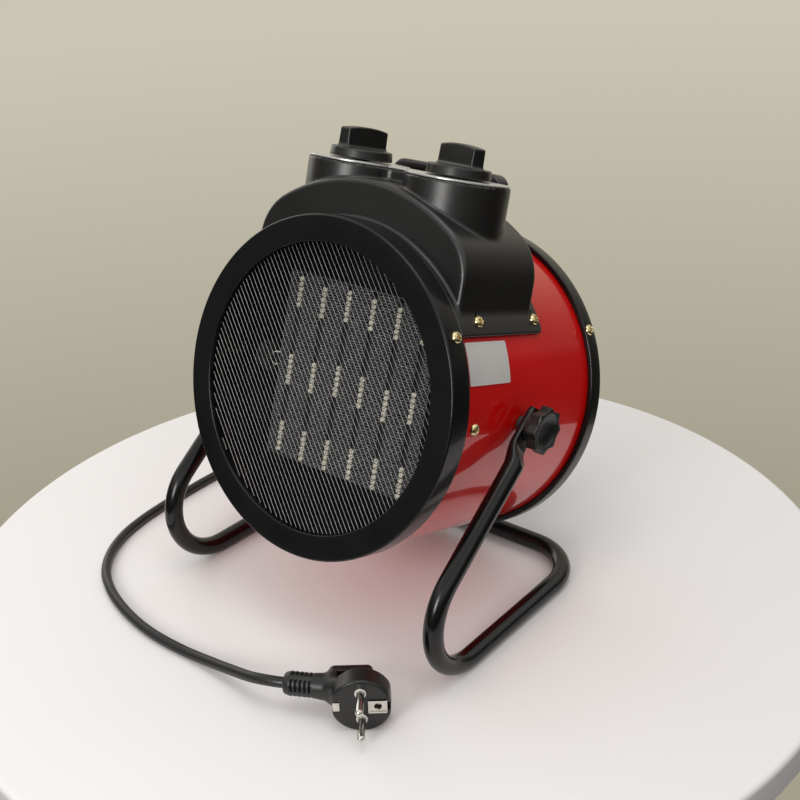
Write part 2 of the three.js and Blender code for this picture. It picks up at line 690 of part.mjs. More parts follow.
// A round skirt with a crowned bar across it to turn it by
function knobSolid(turn) {
  const { radius, top, skirt, height, gripLength, gripWidth } = knob;
  const round = turned([
    [0, 0], [radius, 0], [radius, skirt * knobInside.rimShare], [top, skirt], [0, skirt],
  ], sides.knob);
  const crownShares = [1, 0.6, 0.2, -0.2, -0.6, -1];
  const grip = outline([[-gripLength / 2, 0], [gripLength / 2, 0], ...crownShares.map((share) => [
    share * gripLength / 2, height - knobInside.crown * share ** 2])]);
  const bar = slab(grip, -gripWidth / 2, gripWidth / 2);
  const socket = rodZ(control.shaft + gap, -overrun, knobInside.bore + gap, 0, 0);
  const whole = join(asSolid(aimed(round, [0, 0, 1])), asSolid(bar));
  return asGeometry(cut(whole, socket)).rotateZ(radians(turn));
}

function makeControl(name, part, x, turn) {
  const { neck, neckTop, bodyX, bodyY, bodyHeight, shaft, shaftDepth } = control;
  const knobFrom = plateTo + knob.lift;
  const knobGeometry = knobSolid(turn).translate(x, tower.y, knobFrom);
  add(barrel, `${name}_knob`, knobGeometry, materials.knobPlastic);
  const bodyTop = tower.top - housingBody.wall - gap;
  const body = block3([x - bodyX / 2, x + bodyX / 2], [tower.y - bodyY / 2, tower.y + bodyY / 2],
    [bodyTop - bodyHeight, bodyTop]);
  const collar = rodZ(neck, bodyTop - gap, knobFrom - neckTop, x, tower.y);
  const shaftFrom = bodyTop - shaftDepth;
  const well = rodZ(shaft + gap, shaftFrom - gap, knobFrom + overrun, x, tower.y);
  add(barrel, part, cut(join(body, collar), well), materials.heatPlastic);
  const shaftRod = rodZ(shaft, shaftFrom, knobFrom + knobInside.bore, x, tower.y);
  add(barrel, `${name}_shaft`, shaftRod, materials.steel);
}

function makeTerminals() {
  const { width, depth, height, y } = terminal;
  const seat = drumRadius + gap;
  add(barrel, 'terminal_block', block3([-width / 2, width / 2], [y - depth / 2, y + depth / 2],
    [seat, seat + height]), materials.ceramic);
}

// Carry handle: a hoop standing on the saddle, flat against the housing's rear wall
function makeHandle() {
  const { halfWidth, leg, depth, top, bar, bottom, corner, edge } = handle;
  const hoop = outline([
    [-halfWidth, bottom], [leg - halfWidth, bottom], [leg - halfWidth, top - bar],
    [halfWidth - leg, top - bar], [halfWidth - leg, bottom], [halfWidth, bottom],
    ...arc(halfWidth - corner, top - corner, corner, 0, Math.PI / 2, 4),
    ...arc(corner - halfWidth, top - corner, corner, Math.PI / 2, Math.PI, 4),
  ]);
  const from = housingBody.rear + gap;
  add(barrel, 'carry_handle', slab(hoop, from, from + depth, edge), materials.plastic);
}

function makeLabel() {
  const { belowScrews, sweep, front, rear, thickness, steps } = label;
  const inner = [];
  const outer = [];
  for (let i = 0; i <= steps; i += 1) {
    const angle = saddleAngle + belowScrews + (sweep * i) / steps;
    inner.push(new THREE.Vector2(...polar(drumRadius + gap, angle)));
    outer.push(new THREE.Vector2(...polar(drumRadius + gap + thickness, angle)));
  }
  const shape = new THREE.Shape([...inner, ...outer.reverse()]);
  add(barrel, 'rating_label', slab(shape, -front, -rear), materials.silver);
}

// Cord: strain relief, lead down to the coil, the coil as a ring, tail to the plug

function makeRelief() {
  const { neck, collar, collarDepth, length, tip, inside, x, z } = relief;
  const { rear, wall } = housingBody;
  const inFace = rear - wall - gap;
  const outFace = rear + gap;
  const profile = [
    [0, inFace - inside], [collar, inFace - inside], [collar, inFace], [neck, inFace],
    [neck, outFace], [collar, outFace], [collar, outFace + collarDepth],
    [neck, outFace + collarDepth], [tip, rear + length], [0, rear + length],
  ];
  add(barrel, 'strain_relief', turned(profile, sides.part).translate(x, 0, z), materials.rubber);
}

function cordSolid(points, steps) {
  const curve = new THREE.CatmullRomCurve3(points, false, 'centripetal');
  return new THREE.ExtrudeGeometry(roundSection(cord.radius, sides.cord), {
    steps, extrudePath: curve, bevelEnabled: false,
  });
}

function makeCord() {
  const upright = (list) => list.map((point) => new THREE.Vector3(...point));
  assembly.updateMatrixWorld(true);
  const exit = barrel.localToWorld(new THREE.Vector3(
    relief.x, housingBody.rear + relief.length + gap, relief.z));
  assembly.worldToLocal(exit);
  add(assembly, 'cord_lead', cordSolid([exit, ...upright(leadRoute)], cord.leadSteps), materials.rubber);
  const hoop = turned([[coilInner, 0], [coilOuter, 0], [coilOuter, coilHeight], [coilInner, coilHeight]],
    sides.knob);
  add(assembly, 'cord_coil', aimed(hoop, [0, 0, 1]).translate(coil.x, coil.y, 0), materials.rubber);
  const { depth, lean, reach } = plugArm;
  const end = [reach + cord.radius, reach + gap].map((distance) => assembly.worldToLocal(
    plugGroup.localToWorld(armDirection(lean).multiplyScalar(distance).add(
      new THREE.Vector3(0, depth, 0)))));
  add(assembly, 'cord_tail', cordSolid([...upright(tailRoute), ...end], cord.tailSteps), materials.rubber);
}

// Plug: two pins on a round face, the cord leaving square to them

// One strip of metal: an eye beside the pins, a tab opposite and a bridge behind the face.
// Grown by a margin it is also the slot that it lies in.
function earthStrap(margin) {
  const { width, height, thickness, x, bridge, bridgeHeight } = earth;
  const piece = (middle, across, high, from, to) => block3(
    [middle - across / 2 - margin, middle + across / 2 + margin], [from - margin, to + margin],
    [-high / 2 - margin, high / 2 + margin]);
  const deep = bridge + thickness;
  const far = x + (width - thickness) / 2;
  return join(
    piece(x, width, height, 0, thickness), piece(earthTab.x, earthTab.width, earthTab.height, 0, thickness),
    piece(far, thickness, bridgeHeight, 0, deep), piece(earthTab.x, thickness, bridgeHeight, 0, deep),
    piece((far + earthTab.x) / 2, far - earthTab.x, bridgeHeight, bridge, deep));
}

// The arm leaves the plug sideways and leans back from the face
function armDirection(lean) {
  return new THREE.Vector3(-Math.cos(radians(lean)), Math.sin(radians(lean)), 0);
}

function makePlug() {
  const face = asSolid(rod(plug.radius, 0, plug.face, sides.knob));
  const { depth, lean, radius, reach, start, tip } = plugArm;
  const arm = aimed(turned([[0, 0], [radius, 0], [radius, start], [tip, reach], [0, reach]], sides.part),
    armDirection(lean).toArray()).translate(0, depth, 0);
  const { shift, width, height } = plugBack;
  const back = block3([shift - width / 2, shift + width / 2], [plug.face / 2, plugBack.depth],
    [-height / 2, height / 2]);
  const pinRoots = [-1, 1].map((side) => rodY(pin.radius + gap, -overrun, pin.root + gap, 0,
    side * pin.spread, sides.screw));
  const strap = earthStrap(0);
  const eye = rodY(earth.hole, -overrun, earth.thickness + gap, earth.x, 0, sides.screw);
  const body = cut(join(face, asSolid(arm), back), ...pinRoots, earthStrap(gap));
  add(plugGroup, 'plug_body', body, materials.rubber);
  add(plugGroup, 'plug_earth_strap', cut(strap, eye), materials.brass);
  for (const [word, side] of [['upper', 1], ['lower', -1]]) {
    const prong = rod(pin.radius, -pin.length, pin.root, sides.screw).translate(0, 0, side * pin.spread);
    add(plugGroup, `plug_pin_${word}`, prong, materials.brass);
  }
}

makeStand();
makeDrum();
makeRing('front_ring', barrelFront, ring.frontDepth, ringScrews.frontInset, -1);
makeRing('rear_ring', barrelRear, ring.rearDepth, ringScrews.rearInset, 1);
makeGrilles();
makeHeatingBlock();
makeRotor();
makeMotor();
makeClamp('left', -1);
makeClamp('right', 1);
makeHousing();
makeFacePlate();
makeControl('thermostat', 'thermostat_body', -tower.x, knobTurn.thermostat);
makeControl('selector', 'selector_body', tower.x, knobTurn.selector);
makeTerminals();
makeHandle();
makeLabel();
makeRelief();
makeCord();
makePlug();
centreOnOrigin();

export default heater;
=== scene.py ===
import json
import math
from functools import reduce

import bmesh
import bpy
import numpy as np
from mathutils import Matrix, Vector


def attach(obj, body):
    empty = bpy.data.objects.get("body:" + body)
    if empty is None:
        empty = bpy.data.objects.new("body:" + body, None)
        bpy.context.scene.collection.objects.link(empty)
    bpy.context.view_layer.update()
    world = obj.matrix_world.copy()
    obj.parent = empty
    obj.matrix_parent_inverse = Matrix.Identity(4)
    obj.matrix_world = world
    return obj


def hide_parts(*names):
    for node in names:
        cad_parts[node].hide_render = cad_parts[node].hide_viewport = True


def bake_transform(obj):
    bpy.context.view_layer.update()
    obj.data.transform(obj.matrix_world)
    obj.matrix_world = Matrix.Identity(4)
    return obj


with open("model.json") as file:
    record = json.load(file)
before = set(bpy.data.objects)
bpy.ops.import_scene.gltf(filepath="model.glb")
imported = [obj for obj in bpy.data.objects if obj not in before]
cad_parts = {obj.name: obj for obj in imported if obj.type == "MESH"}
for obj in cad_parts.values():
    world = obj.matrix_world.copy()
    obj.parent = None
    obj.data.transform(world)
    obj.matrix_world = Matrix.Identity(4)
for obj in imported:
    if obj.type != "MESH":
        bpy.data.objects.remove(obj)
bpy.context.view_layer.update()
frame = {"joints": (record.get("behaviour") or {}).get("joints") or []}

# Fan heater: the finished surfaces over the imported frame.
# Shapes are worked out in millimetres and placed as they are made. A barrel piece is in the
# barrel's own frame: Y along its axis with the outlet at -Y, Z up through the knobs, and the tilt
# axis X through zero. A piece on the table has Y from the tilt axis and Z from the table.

scene = bpy.context.scene
mm = 0.001
touch = 0.3   # the gap that touching pieces keep
joints = {joint["name"]: joint for joint in frame["joints"]}
pivot = np.array(joints["tilt"]["pos_m"])
spinAxis = joints["fan_spin"]["axis"]
lean = math.atan2(-spinAxis[2], spinAxis[1])   # how far the barrel leans back at rest


# Places

def turned(a, b, turn):   # the pair (a, b) turned by an angle from a towards b
    return a * math.cos(turn) - b * math.sin(turn), a * math.sin(turn) + b * math.cos(turn)


def onBarrel(points):   # turned back by lean about X, then lifted to the pivot
    x, y, z = np.moveaxis(np.asarray(points, float) * mm, -1, 0)
    return np.stack([x, *turned(y, z, -lean)], -1) + pivot


def onTable(points):
    return np.asarray(points, float) * mm + [0, pivot[1], 0]


def eased(share):   # from 0 to 1, level at both ends
    return share * share * (3 - 2 * share)


# A curve through all points: on each stretch the usual Catmull-Rom cubic, with its knots
# spaced by the square root of the distance, read at equal lengths of about one step.
def smoothPath(points, step):
    p = np.asarray(points, float)
    p = np.vstack([2 * p[0] - p[1], p, 2 * p[-1] - p[-2]])
    knot = np.concatenate([[0], np.cumsum(np.sqrt(np.linalg.norm(np.diff(p, axis=0), axis=1)))])
    out = []
    for i in range(1, len(p) - 2):
        t = np.linspace(knot[i], knot[i + 1], 24, endpoint=False)[:, None]
        k = knot[i - 1:i + 3]
        a = [((k[j + 1] - t) * p[i - 1 + j] + (t - k[j]) * p[i + j]) / (k[j + 1] - k[j]) for j in range(3)]
        b = [((k[j + 2] - t) * a[j] + (t - k[j]) * a[j + 1]) / (k[j + 2] - k[j]) for j in range(2)]
        out.append(((k[2] - t) * b[0] + (t - k[1]) * b[1]) / (k[2] - k[1]))
    return evenly(np.vstack([*out, p[-2]]), step)


def evenly(line, step):
    along = np.concatenate([[0], np.cumsum(np.linalg.norm(np.diff(line, axis=0), axis=1))])
    marks = np.linspace(0, along[-1], max(int(round(along[-1] / step)), 2) + 1)
    return np.stack([np.interp(marks, along, line[:, i]) for i in range(3)], -1)


# Surfaces: a grid of points becomes quads, each row closed to a ring, and the last row joined
# to the first where asked

def onceRound(count):
    return np.linspace(0, 2 * np.pi, count, endpoint=False)


def sheetOf(grid, joinEnds=False):
    rows, columns = grid.shape[:2]
    i, j = np.arange(rows if joinEnds else rows - 1)[:, None], np.arange(columns)[None, :]
    nextI, nextJ = (i + 1) % rows, (j + 1) % columns
    corners = [i * columns + j, nextI * columns + j, nextI * columns + nextJ, i * columns + nextJ]
    return grid.reshape(-1, 3), np.stack(np.broadcast_arrays(*corners), -1).reshape(-1, 4)


# A profile of (radius, y) carried round the Y axis: (r sin a, y, r cos a).
def turnedShape(profile, sides):
    a = onceRound(sides)[:, None]
    r, y = np.asarray(profile, float).T
    return sheetOf(np.stack([r * np.sin(a), y + 0 * a, r * np.cos(a)], -1), joinEnds=True)


# A stack of closed rings, shut by a point at each end.
def closedStack(section):
    first, last = section[:1].mean(1, keepdims=True), section[-1:].mean(1, keepdims=True)
    count = section.shape[1]
    rings = np.concatenate([np.repeat(first, count, 1), section, np.repeat(last, count, 1)])
    return sheetOf(rings)


# Circles square to a path, one at each of its points, with both ends shut. The two directions
# square to the path turn as little as possible from point to point.
def tubeAlong(line, radius, flats):
    ahead = np.gradient(line, axis=0)
    ahead /= np.linalg.norm(ahead, axis=1, keepdims=True)
    side = np.cross(ahead[0], [0, 0, 1] if abs(ahead[0][2]) < 0.9 else [1, 0, 0])
    sides = []
    for direction in ahead:
        side = side - direction * side.dot(direction)
        side = side / np.linalg.norm(side)
        sides.append(side)
    sides = np.array(sides)
    ups = np.cross(ahead, sides)
    a = onceRound(flats)[None, :, None]
    return closedStack(line[:, None] + radius * (np.cos(a) * sides[:, None] + np.sin(a) * ups[:, None]))


# An outline in X and Y drawn in from its corners by a quarter round edge at top and bottom.
def edgedPlate(outline, low, high, edge):
    ahead = np.roll(outline, -1, 0) - np.roll(outline, 1, 0)
    outward = np.stack([ahead[:, 1], -ahead[:, 0]], -1)
    outward /= np.linalg.norm(outward, axis=1, keepdims=True)
    quarter = np.radians([90, 60, 30, 0])
    inset, rise = edge * (1 - np.cos(quarter)), edge * (1 - np.sin(quarter))
    levels = [np.column_stack([outline - outward * drawn, np.full(len(outline), z)])
              for drawn, z in zip([*inset, *inset[::-1]], [*(low + rise), *(high - rise[::-1])])]
    return closedStack(np.array(levels))


def boxPart(low, high):
    x, y, z = zip(low, high)
    points = np.array([[x[i], y[j], z[k]] for i in (0, 1) for j in (0, 1) for k in (0, 1)], float)
    faces = np.array([[0, 1, 3, 2], [4, 6, 7, 5], [0, 4, 5, 1], [2, 3, 7, 6], [0, 2, 6, 4], [1, 5, 7, 3]])
    return points, faces


# Fields: a shape as its distance in millimetres, below zero inside, and the skin where it is zero

def roundUnion(a, b, radius):
    h = np.maximum(radius - np.abs(a - b), 0) / radius
    return np.minimum(a, b) - h * h * radius / 4


# What is inside both a and b, with the edge between them rounded to a radius.
def roundCut(a, b, radius):
    outside = np.hypot(np.maximum(a + radius, 0), np.maximum(b + radius, 0))
    return np.minimum(np.maximum(a, b), -radius) + outside


# How far a value is outside the stretch from low to high.
def between(value, low, high):
    return np.abs(value - (low + high) / 2) - (high - low) / 2


# What is inside the field, less what is inside all of the cuts.
def without(field, *cuts):
    return np.maximum(field, -reduce(np.maximum, cuts))


def blockField(x, y, z, halfX, halfY, halfZ, radius):
    dx, dy, dz = np.abs(x) - halfX + radius, np.abs(y) - halfY + radius, np.abs(z) - halfZ + radius
    outside = np.sqrt(np.maximum(dx, 0) ** 2 + np.maximum(dy, 0) ** 2 + np.maximum(dz, 0) ** 2)
    return outside + np.minimum(np.maximum(dx, np.maximum(dy, dz)), 0) - radius


# The surface where a field is zero. Each cell of a grid that the surface crosses gets one
# point, the mean of its edge crossings, and each crossed grid line gets a quad round it. Then
# each point slides three times along the field's slope on to the surface itself.
def skinOf(field, low, high, step):
    axes = [np.arange(a, b + step, step) for a, b in zip(low, high)]
    values = field(*np.meshgrid(*axes, indexing="ij"))
    size = np.array(values.shape)
    unit = np.eye(3, dtype=int)
    total, hits = np.zeros((*(size - 1), 3)), np.zeros(size - 1)
    lines = []
    for axis in range(3):
        near = np.take(values, range(size[axis] - 1), axis)
        far = np.take(values, range(1, size[axis]), axis)
        crossed = (near < 0) != (far < 0)
        share = np.where(crossed, near / np.where(crossed, near - far, 1), 0)
        spot = np.stack(np.meshgrid(*[a[:n] for a, n in zip(axes, near.shape)], indexing="ij"), -1)
        spot[..., axis] += share * step
        spot *= crossed[..., None]
        u, v = [k for k in range(3) if k != axis]
        for du, dv in ((0, 0), (0, 1), (1, 0), (1, 1)):
            part = [slice(None)] * 3
            part[u], part[v] = slice(du, du + size[u] - 1), slice(dv, dv + size[v] - 1)
            total += spot[tuple(part)]
            hits += crossed[tuple(part)]
        lines.append((axis, u, v, crossed, near < 0))
    used = hits > 0
    number = np.full(used.shape, -1)
    number[used] = np.arange(used.sum())
    points = total[used] / hits[used][:, None]
    faces = []
    for axis, u, v, crossed, nearInside in lines:
        at = np.argwhere(crossed)
        at = at[(at[:, u] > 0) & (at[:, v] > 0) & (at[:, u] < size[u] - 1) & (at[:, v] < size[v] - 1)]
        quads = np.stack([number[tuple((at - du * unit[u] - dv * unit[v]).T)]
                          for du, dv in ((0, 0), (1, 0), (1, 1), (0, 1))], -1)
        flip = nearInside[tuple(at.T)] == (axis == 1)
        faces.append(np.where(flip[:, None], quads[:, ::-1], quads))
    tiny = step / 20
    for _ in range(3):
        here = field(*points.T)
        slope = np.stack([(field(*(points + tiny * unit[k]).T) - here) / tiny for k in range(3)], -1)
        move = -slope * (here / np.maximum((slope ** 2).sum(-1), 0.2))[:, None]
        points = points + np.clip(move, -step / 2, step / 2)
    return points, np.vstack(faces)


# Looks: each row is the record's slot, the colour, roughness, metallic and specular, then what
# breaks the surface up at three sizes, as (cells per metre, amount): grain is a bump, tone shifts
# the colour and smudge shifts the roughness. A coat is (weight, roughness).

finishes = {
    "redEnamel": ("red_paint", (0.69, 0.0016, 0.0006), 0.4, 0, 0.15, (260, 1e-5), (14, 0.05), (30, 0.04),
                  (1, 0.03)),
    "drumInside": (None, (0.012, 0.0075, 0.007), 0.5, 0, 0.3, (900, 3e-5), (60, 0.15), (40, 0.06)),
    "blackPowderCoat": ("black_paint", (0.0055, 0.0053, 0.0057), 0.3, 0, 0.22, (2600, 1e-5), (500, 0.12),
                        (40, 0.05), (0.3, 0.08)),
    "blackTubeCoat": ("tube_paint", (0.0034, 0.0033, 0.0032), 0.2, 0, 0.42, (900, 1e-5), (60, 0.1), (50, 0.05)),
    "housingPlastic": ("plastic", (0.0068, 0.0062, 0.0058), 0.33, 0, 0.72, (3400, 3.5e-5), (20, 0.08), (18, 0.06)),
    "knobPlastic": ("knob_plastic", (0.006, 0.0056, 0.0053), 0.33, 0, 0.65, (3000, 3e-5), (30, 0.08), (40, 0.06)),
    # The two mesh rows are one black wire: the leaning front wires are painted light grey as a painted highlight,
    # and the rest keep the black.
    "meshWireHighlight": ("mesh", (0.5, 0.5, 0.49), 0.3, 0.6, 0.5, (3000, 2e-5), (300, 0.25), None),
    "meshTie": ("mesh", (0.004, 0.004, 0.0042), 0.4, 0, 0.3, (3000, 1e-5), (300, 0.2), None),
    "silverFoil": ("silver", (0.82, 0.79, 0.77), 0.36, 0.2, 0.5, (5000, 1e-5), (24, 0.03), (60, 0.06)),
    "silverFace": ("silver", (0.64, 0.63, 0.61), 0.3, 0.6, 0.5, (4000, 1e-5), (40, 0.02), (90, 0.05)),
    "yellowZinc": ("zinc_yellow", (0.74, 0.6, 0.33), 0.2, 1, 0.5, (2500, 2e-5), (350, 0.12), (300, 0.08)),
    # The two fin rows are one metal: the sheet is a darker copy, painted shade in the folds, and the edges facing
    # out of the mouth are a lighter copy, a painted highlight.
    "finShadedSheet": ("fins", (0.2, 0.2, 0.21), 0.35, 0.6, 0.5, (2500, 2e-5), (650, 0.5), (250, 0.1)),
    "finLitEdges": (None, (0.56, 0.56, 0.57), 0.35, 0.6, 0.5, (2500, 2e-5), (650, 0.75), (250, 0.1)),
    "pinCollar": ("ceramic", (0.78, 0.76, 0.72), 0.4, 0, 0.5, (2500, 1e-5), (400, 0.05), None),
    "stripSheet": ("fins", (0.035, 0.035, 0.037), 0.45, 0.5, 0.5, (1500, 2e-5), (200, 0.2), None),
    "ceramicBead": ("ceramic", (0.72, 0.69, 0.56), 0.5, 0, 0.5, (2500, 3e-5), (300, 0.12), (500, 0.1)),
    "steelSheet": (None, (0.42, 0.42, 0.41), 0.33, 0.95, 0.5, (900, 2e-5), (80, 0.1), (120, 0.1)),
    "darkPlastic": ("heat_plastic", (0.022, 0.022, 0.022), 0.5, 0, 0.5, (1800, 4e-5), (50, 0.1), (60, 0.06)),
    "cordRubber": ("rubber", (0.0095, 0.0095, 0.0095), 0.36, 0, 0.5, (1200, 2e-5), (60, 0.12), (90, 0.06)),
    "plugRubber": ("rubber", (0.0105, 0.0103, 0.0102), 0.33, 0, 0.5, (2600, 4e-5), (60, 0.1), (70, 0.06)),
    "nickelPlate": ("brass", (0.66, 0.63, 0.58), 0.18, 1, 0.5, (1600, 1e-5), (200, 0.08), (200, 0.07)),
    "paleTable": (None, (0.855, 0.838, 0.83), 0.42, 0, 0.3, None, (3, 0.008), (6, 0.04)),
}
noiseDetail = {"grain": 2, "tone": 4, "smudge": 6}
noiseSpan = (0.3, 0.7)   # where most of the noise lies


# A node with its settings and inputs. An input is a value, or another node's output to link.
def addNode(tree, kind, inputs, **settings):
    node = tree.nodes.new("ShaderNode" + kind)
    for key, value in settings.items():
        setattr(node, key, value)
    for key, value in inputs.items():
        if isinstance(value, bpy.types.NodeSocket):
            tree.links.new(value, node.inputs[key])
        else:
            node.inputs[key].default_value = value
    return node.outputs


def spread(tree, value, found, wanted=(0, 1)):   # carried from one range to another
    return addNode(tree, "MapRange", {"Value": value, "From Min": found[0], "From Max": found[1],
                                      "To Min": wanted[0], "To Max": wanted[1]})["Result"]


def mixed(tree, share, a, b):   # from colour a to colour b
    return addNode(tree, "Mix", {"Factor": share, "A": (*a, 1), "B": (*b, 1)}, data_type="RGBA")["Result"]


def look(name, colour, roughness, metallic, specular, grain, tone, smudge, coat=(0, 0.1)):
    material = bpy.data.materials.new(name)
    material.use_nodes = True
    tree = material.node_tree
    shader = tree.nodes["Principled BSDF"].inputs
    for key, value in (("Base Color", (*colour, 1)), ("Roughness", roughness), ("Metallic", metallic),
                       ("Specular IOR Level", specular), ("Coat Weight", coat[0]), ("Coat Roughness", coat[1])):
        shader[key].default_value = value
    place = addNode(tree, "TexCoord", {})["Object"]

    def noise(kind, scale):
        return addNode(tree, "TexNoise", {"Scale": scale, "Detail": noiseDetail[kind], "Vector": place})["Fac"]

    dark, pale = ([min(c * (1 + sign * tone[1]), 1) for c in colour] for sign in (-1, 1))
    share = spread(tree, noise("tone", tone[0]), noiseSpan)
    tree.links.new(mixed(tree, share, dark, pale), shader["Base Color"])
    if smudge:
        limits = max(roughness - smudge[1], 0.02), min(roughness + smudge[1], 1)
        tree.links.new(spread(tree, noise("smudge", smudge[0]), noiseSpan, limits), shader["Roughness"])
    if grain:
        bump = addNode(tree, "Bump", {"Strength": 1, "Distance": grain[1], "Height": noise("grain", grain[0])})
        for socket in ("Normal", "Coat Normal") if coat[0] else ("Normal",):
            tree.links.new(bump["Normal"], shader[socket])
    return material


looks = {name: look(name, *row[1:]) for name, row in finishes.items()}
print("looks ready")


# Pieces: places shapes, each a pair of points and faces, as one mesh, and hangs it on its body.
# What it stands for is the nodes' names with spaces between them.

def addObject(name, data):
    item = bpy.data.objects.new(name, data)
    scene.collection.objects.link(item)
    return item


def makePiece(name, shapes, finish, body, stands="", sharpAt=35, place=onBarrel):
    points, faces, base = [], [], 0
    for partPoints, partFaces in shapes:
        points.append(place(partPoints))
        faces.extend((partFaces + base).tolist())
        base += len(partPoints)
    mesh = bpy.data.meshes.new(name)
    mesh.from_pydata(np.vstack(points).tolist(), [], faces)
    work = bmesh.new()
    work.from_mesh(mesh)
    bmesh.ops.remove_doubles(work, verts=work.verts, dist=1e-7)
    bmesh.ops.dissolve_degenerate(work, edges=work.edges, dist=1e-8)
    bmesh.ops.recalc_face_normals(work, faces=work.faces)
    work.to_mesh(mesh)
    work.free()
    mesh.polygons.foreach_set("use_smooth", np.ones(len(mesh.polygons), bool))
    mesh.set_sharp_from_angle(angle=math.radians(sharpAt))
    mesh.materials.append(looks[finish])
    piece = addObject(name, mesh)
    if body:
        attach(piece, body)
    if stands:
        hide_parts(*stands.split())
    return piece


# Some faces of a piece get a second finish.
def secondFinish(piece, finish, chosen):
    piece.data.materials.append(looks[finish])
    piece.data.polygons.foreach_set("material_index", chosen.astype(np.int32))


# Camera

view = {"place": (0.51077, -0.58973, 0.5109), "turn": 40.766, "tip": 26.284, "roll": -2.693, "lens": 56.81}


def placeCamera():
    data = bpy.data.cameras.new("camera")
    data.lens = view["lens"]
    data.sensor_width = 36
    data.clip_start = 0.02
    turn, tip, roll = (Matrix.Rotation(math.radians(angle), 4, axis) for angle, axis in (
        (view["turn"], "Z"), (90 - view["tip"], "X"), (view["roll"], "Z")))
    scene.camera = addObject("camera", data)
    scene.camera.matrix_world = Matrix.Translation(view["place"]) @ turn @ tip @ roll


placeCamera()


# Cord: strain relief to plug in one length, its spare turns in a coil behind the heater

cord = {
    "radius": 3.5, "step": 3.4, "flats": 18, "length": 1.506,
    "lead": [
        [-62, 94.9, 216.4], [-62, 109, 211.2], [-62.5, 122.5, 204.6], [-63.5, 134, 195],
        [-65, 143, 182], [-67, 149, 165], [-69.3, 152.5, 146], [-71.8, 154.5, 126],
        [-74.3, 155.6, 106], [-76.8, 156, 86], [-79.3, 156.4, 66], [-81.6, 156.8, 50],
        [-83.6, 157.5, 36.5], [-85.4, 159.9, 24.5], [-87.1, 165.6, 14.6], [-88.7, 173.6, 7.6],
        [-89.8, 182, 4.4], [-90.5, 189.6, 3.5],
    ],
    "tail": [
        [-177.5, 189.6, 3.5], [-178.5, 170, 3.5], [-180.5, 145, 3.5], [-183.5, 118, 3.5],
        [-187, 90, 3.5], [-190.5, 62, 3.5], [-193.5, 34, 3.5], [-195.8, 8, 3.5],
        [-196.4, -12, 3.5], [-195.6, -34, 3.5], [-194.4, -57, 3.5], [-191.8, -80, 3.5],
        [-185.8, -103.5, 3.5], [-174, -125.8, 3.5], [-156.5, -144.2, 3.5], [-133.5, -157.4, 3.5],
        [-108, -166.2, 3.5], [-82, -171.4, 3.5], [-59.6, -172.9, 3.5], [-40, -172.4, 3.6],
        [-19.2, -172, 5.6], [4.1, -173, 10], [24.5, -174.4, 15], [35, -173.8, 17.5],
    ],
}
coil = {"x": -134, "y": 215, "outer": 43.5, "inner": 36.5, "low": 3.5, "high": 10.5, "turns": 2.5}
relief = {"x": -62, "z": 100, "rear": 22, "length": 30, "ribs": 7.5}
plug = {"x": 101.7, "y": -157.5, "turn": 39, "radius": 18.5, "depth": 15, "lean": 11, "reach": 48.5}


def onPlug(points):   # turned about Z and set on its rim, still in millimetres
    x, y, z = np.moveaxis(np.asarray(points, float), -1, 0)
    return np.stack([*turned(x, y, math.radians(plug["turn"])), z], -1) + [plug["x"], plug["y"], plug["radius"]]


def alongArm(distance):   # the arm leaves sideways and leans back from the face
    turn = math.radians(plug["lean"])
    return [-distance * math.cos(turn), plug["depth"] + distance * math.sin(turn), 0]


# Angle a grows from 0 to 900 degrees. The cord comes in on the outer low lane, moves to the
# inner low lane, climbs to the inner high lane, moves out and leaves on the outer side.
def coilTurns():
    a = np.arange(0, 360 * coil["turns"] + 1, 6.0)
    across = eased(np.interp(a, [0, 75, 150, 600, 700, 900], [0, 0, 1, 1, 0, 0]))
    rise = eased(np.interp(a, [0, 355, 435, 855, 900], [0, 0, 1, 1, 0.55]))
    radius = coil["outer"] + (coil["inner"] - coil["outer"]) * across
    z = coil["low"] + (coil["high"] - coil["low"]) * rise
    turn = np.radians(a)
    return np.stack([coil["x"] + radius * np.cos(turn), coil["y"] + radius * np.sin(turn), z], -1)


def makeCord():
    exitPoint = onBarrel([relief["x"], relief["rear"] + relief["length"] + touch, relief["z"]])
    start = (exitPoint - [0, pivot[1], 0]) / mm
    ends = onPlug([alongArm(plug["reach"] + cord["radius"]), alongArm(plug["reach"] + touch)])
    route = np.vstack([start[None], cord["lead"], coilTurns(), cord["tail"], ends])
    line = smoothPath(route, cord["step"])
    line[:, 2] = np.maximum(line[:, 2], cord["radius"] + 0.02)
    line = onTable(line)
    piece = makePiece("mains_cord", [tubeAlong(line, cord["radius"] * mm, cord["flats"])], "cordRubber", None,
                      "cord_lead cord_coil cord_tail", place=np.asarray)
    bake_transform(piece)
    length = np.linalg.norm(np.diff(line, axis=0), axis=1).sum()
    print("cord length", round(float(length), 4))
    return piece, line, exitPoint


mainsCord, cordLine, cordExit = makeCord()
print("cord ready")


# Stand: one tube from clamp to clamp, its ends pressed flat

stand = {
    "radius": 6.4, "bend": 38.5, "spread": 117.5, "rearSpread": 112.9, "pivotHeight": 142, "knee": -187,
    "crossbar": 67, "endHalfThick": 2, "endHalfWidth": 8, "flat": 14, "flare": 16, "overhang": 4.25,
    "corner": 5, "step": 2, "flats": 48,
}


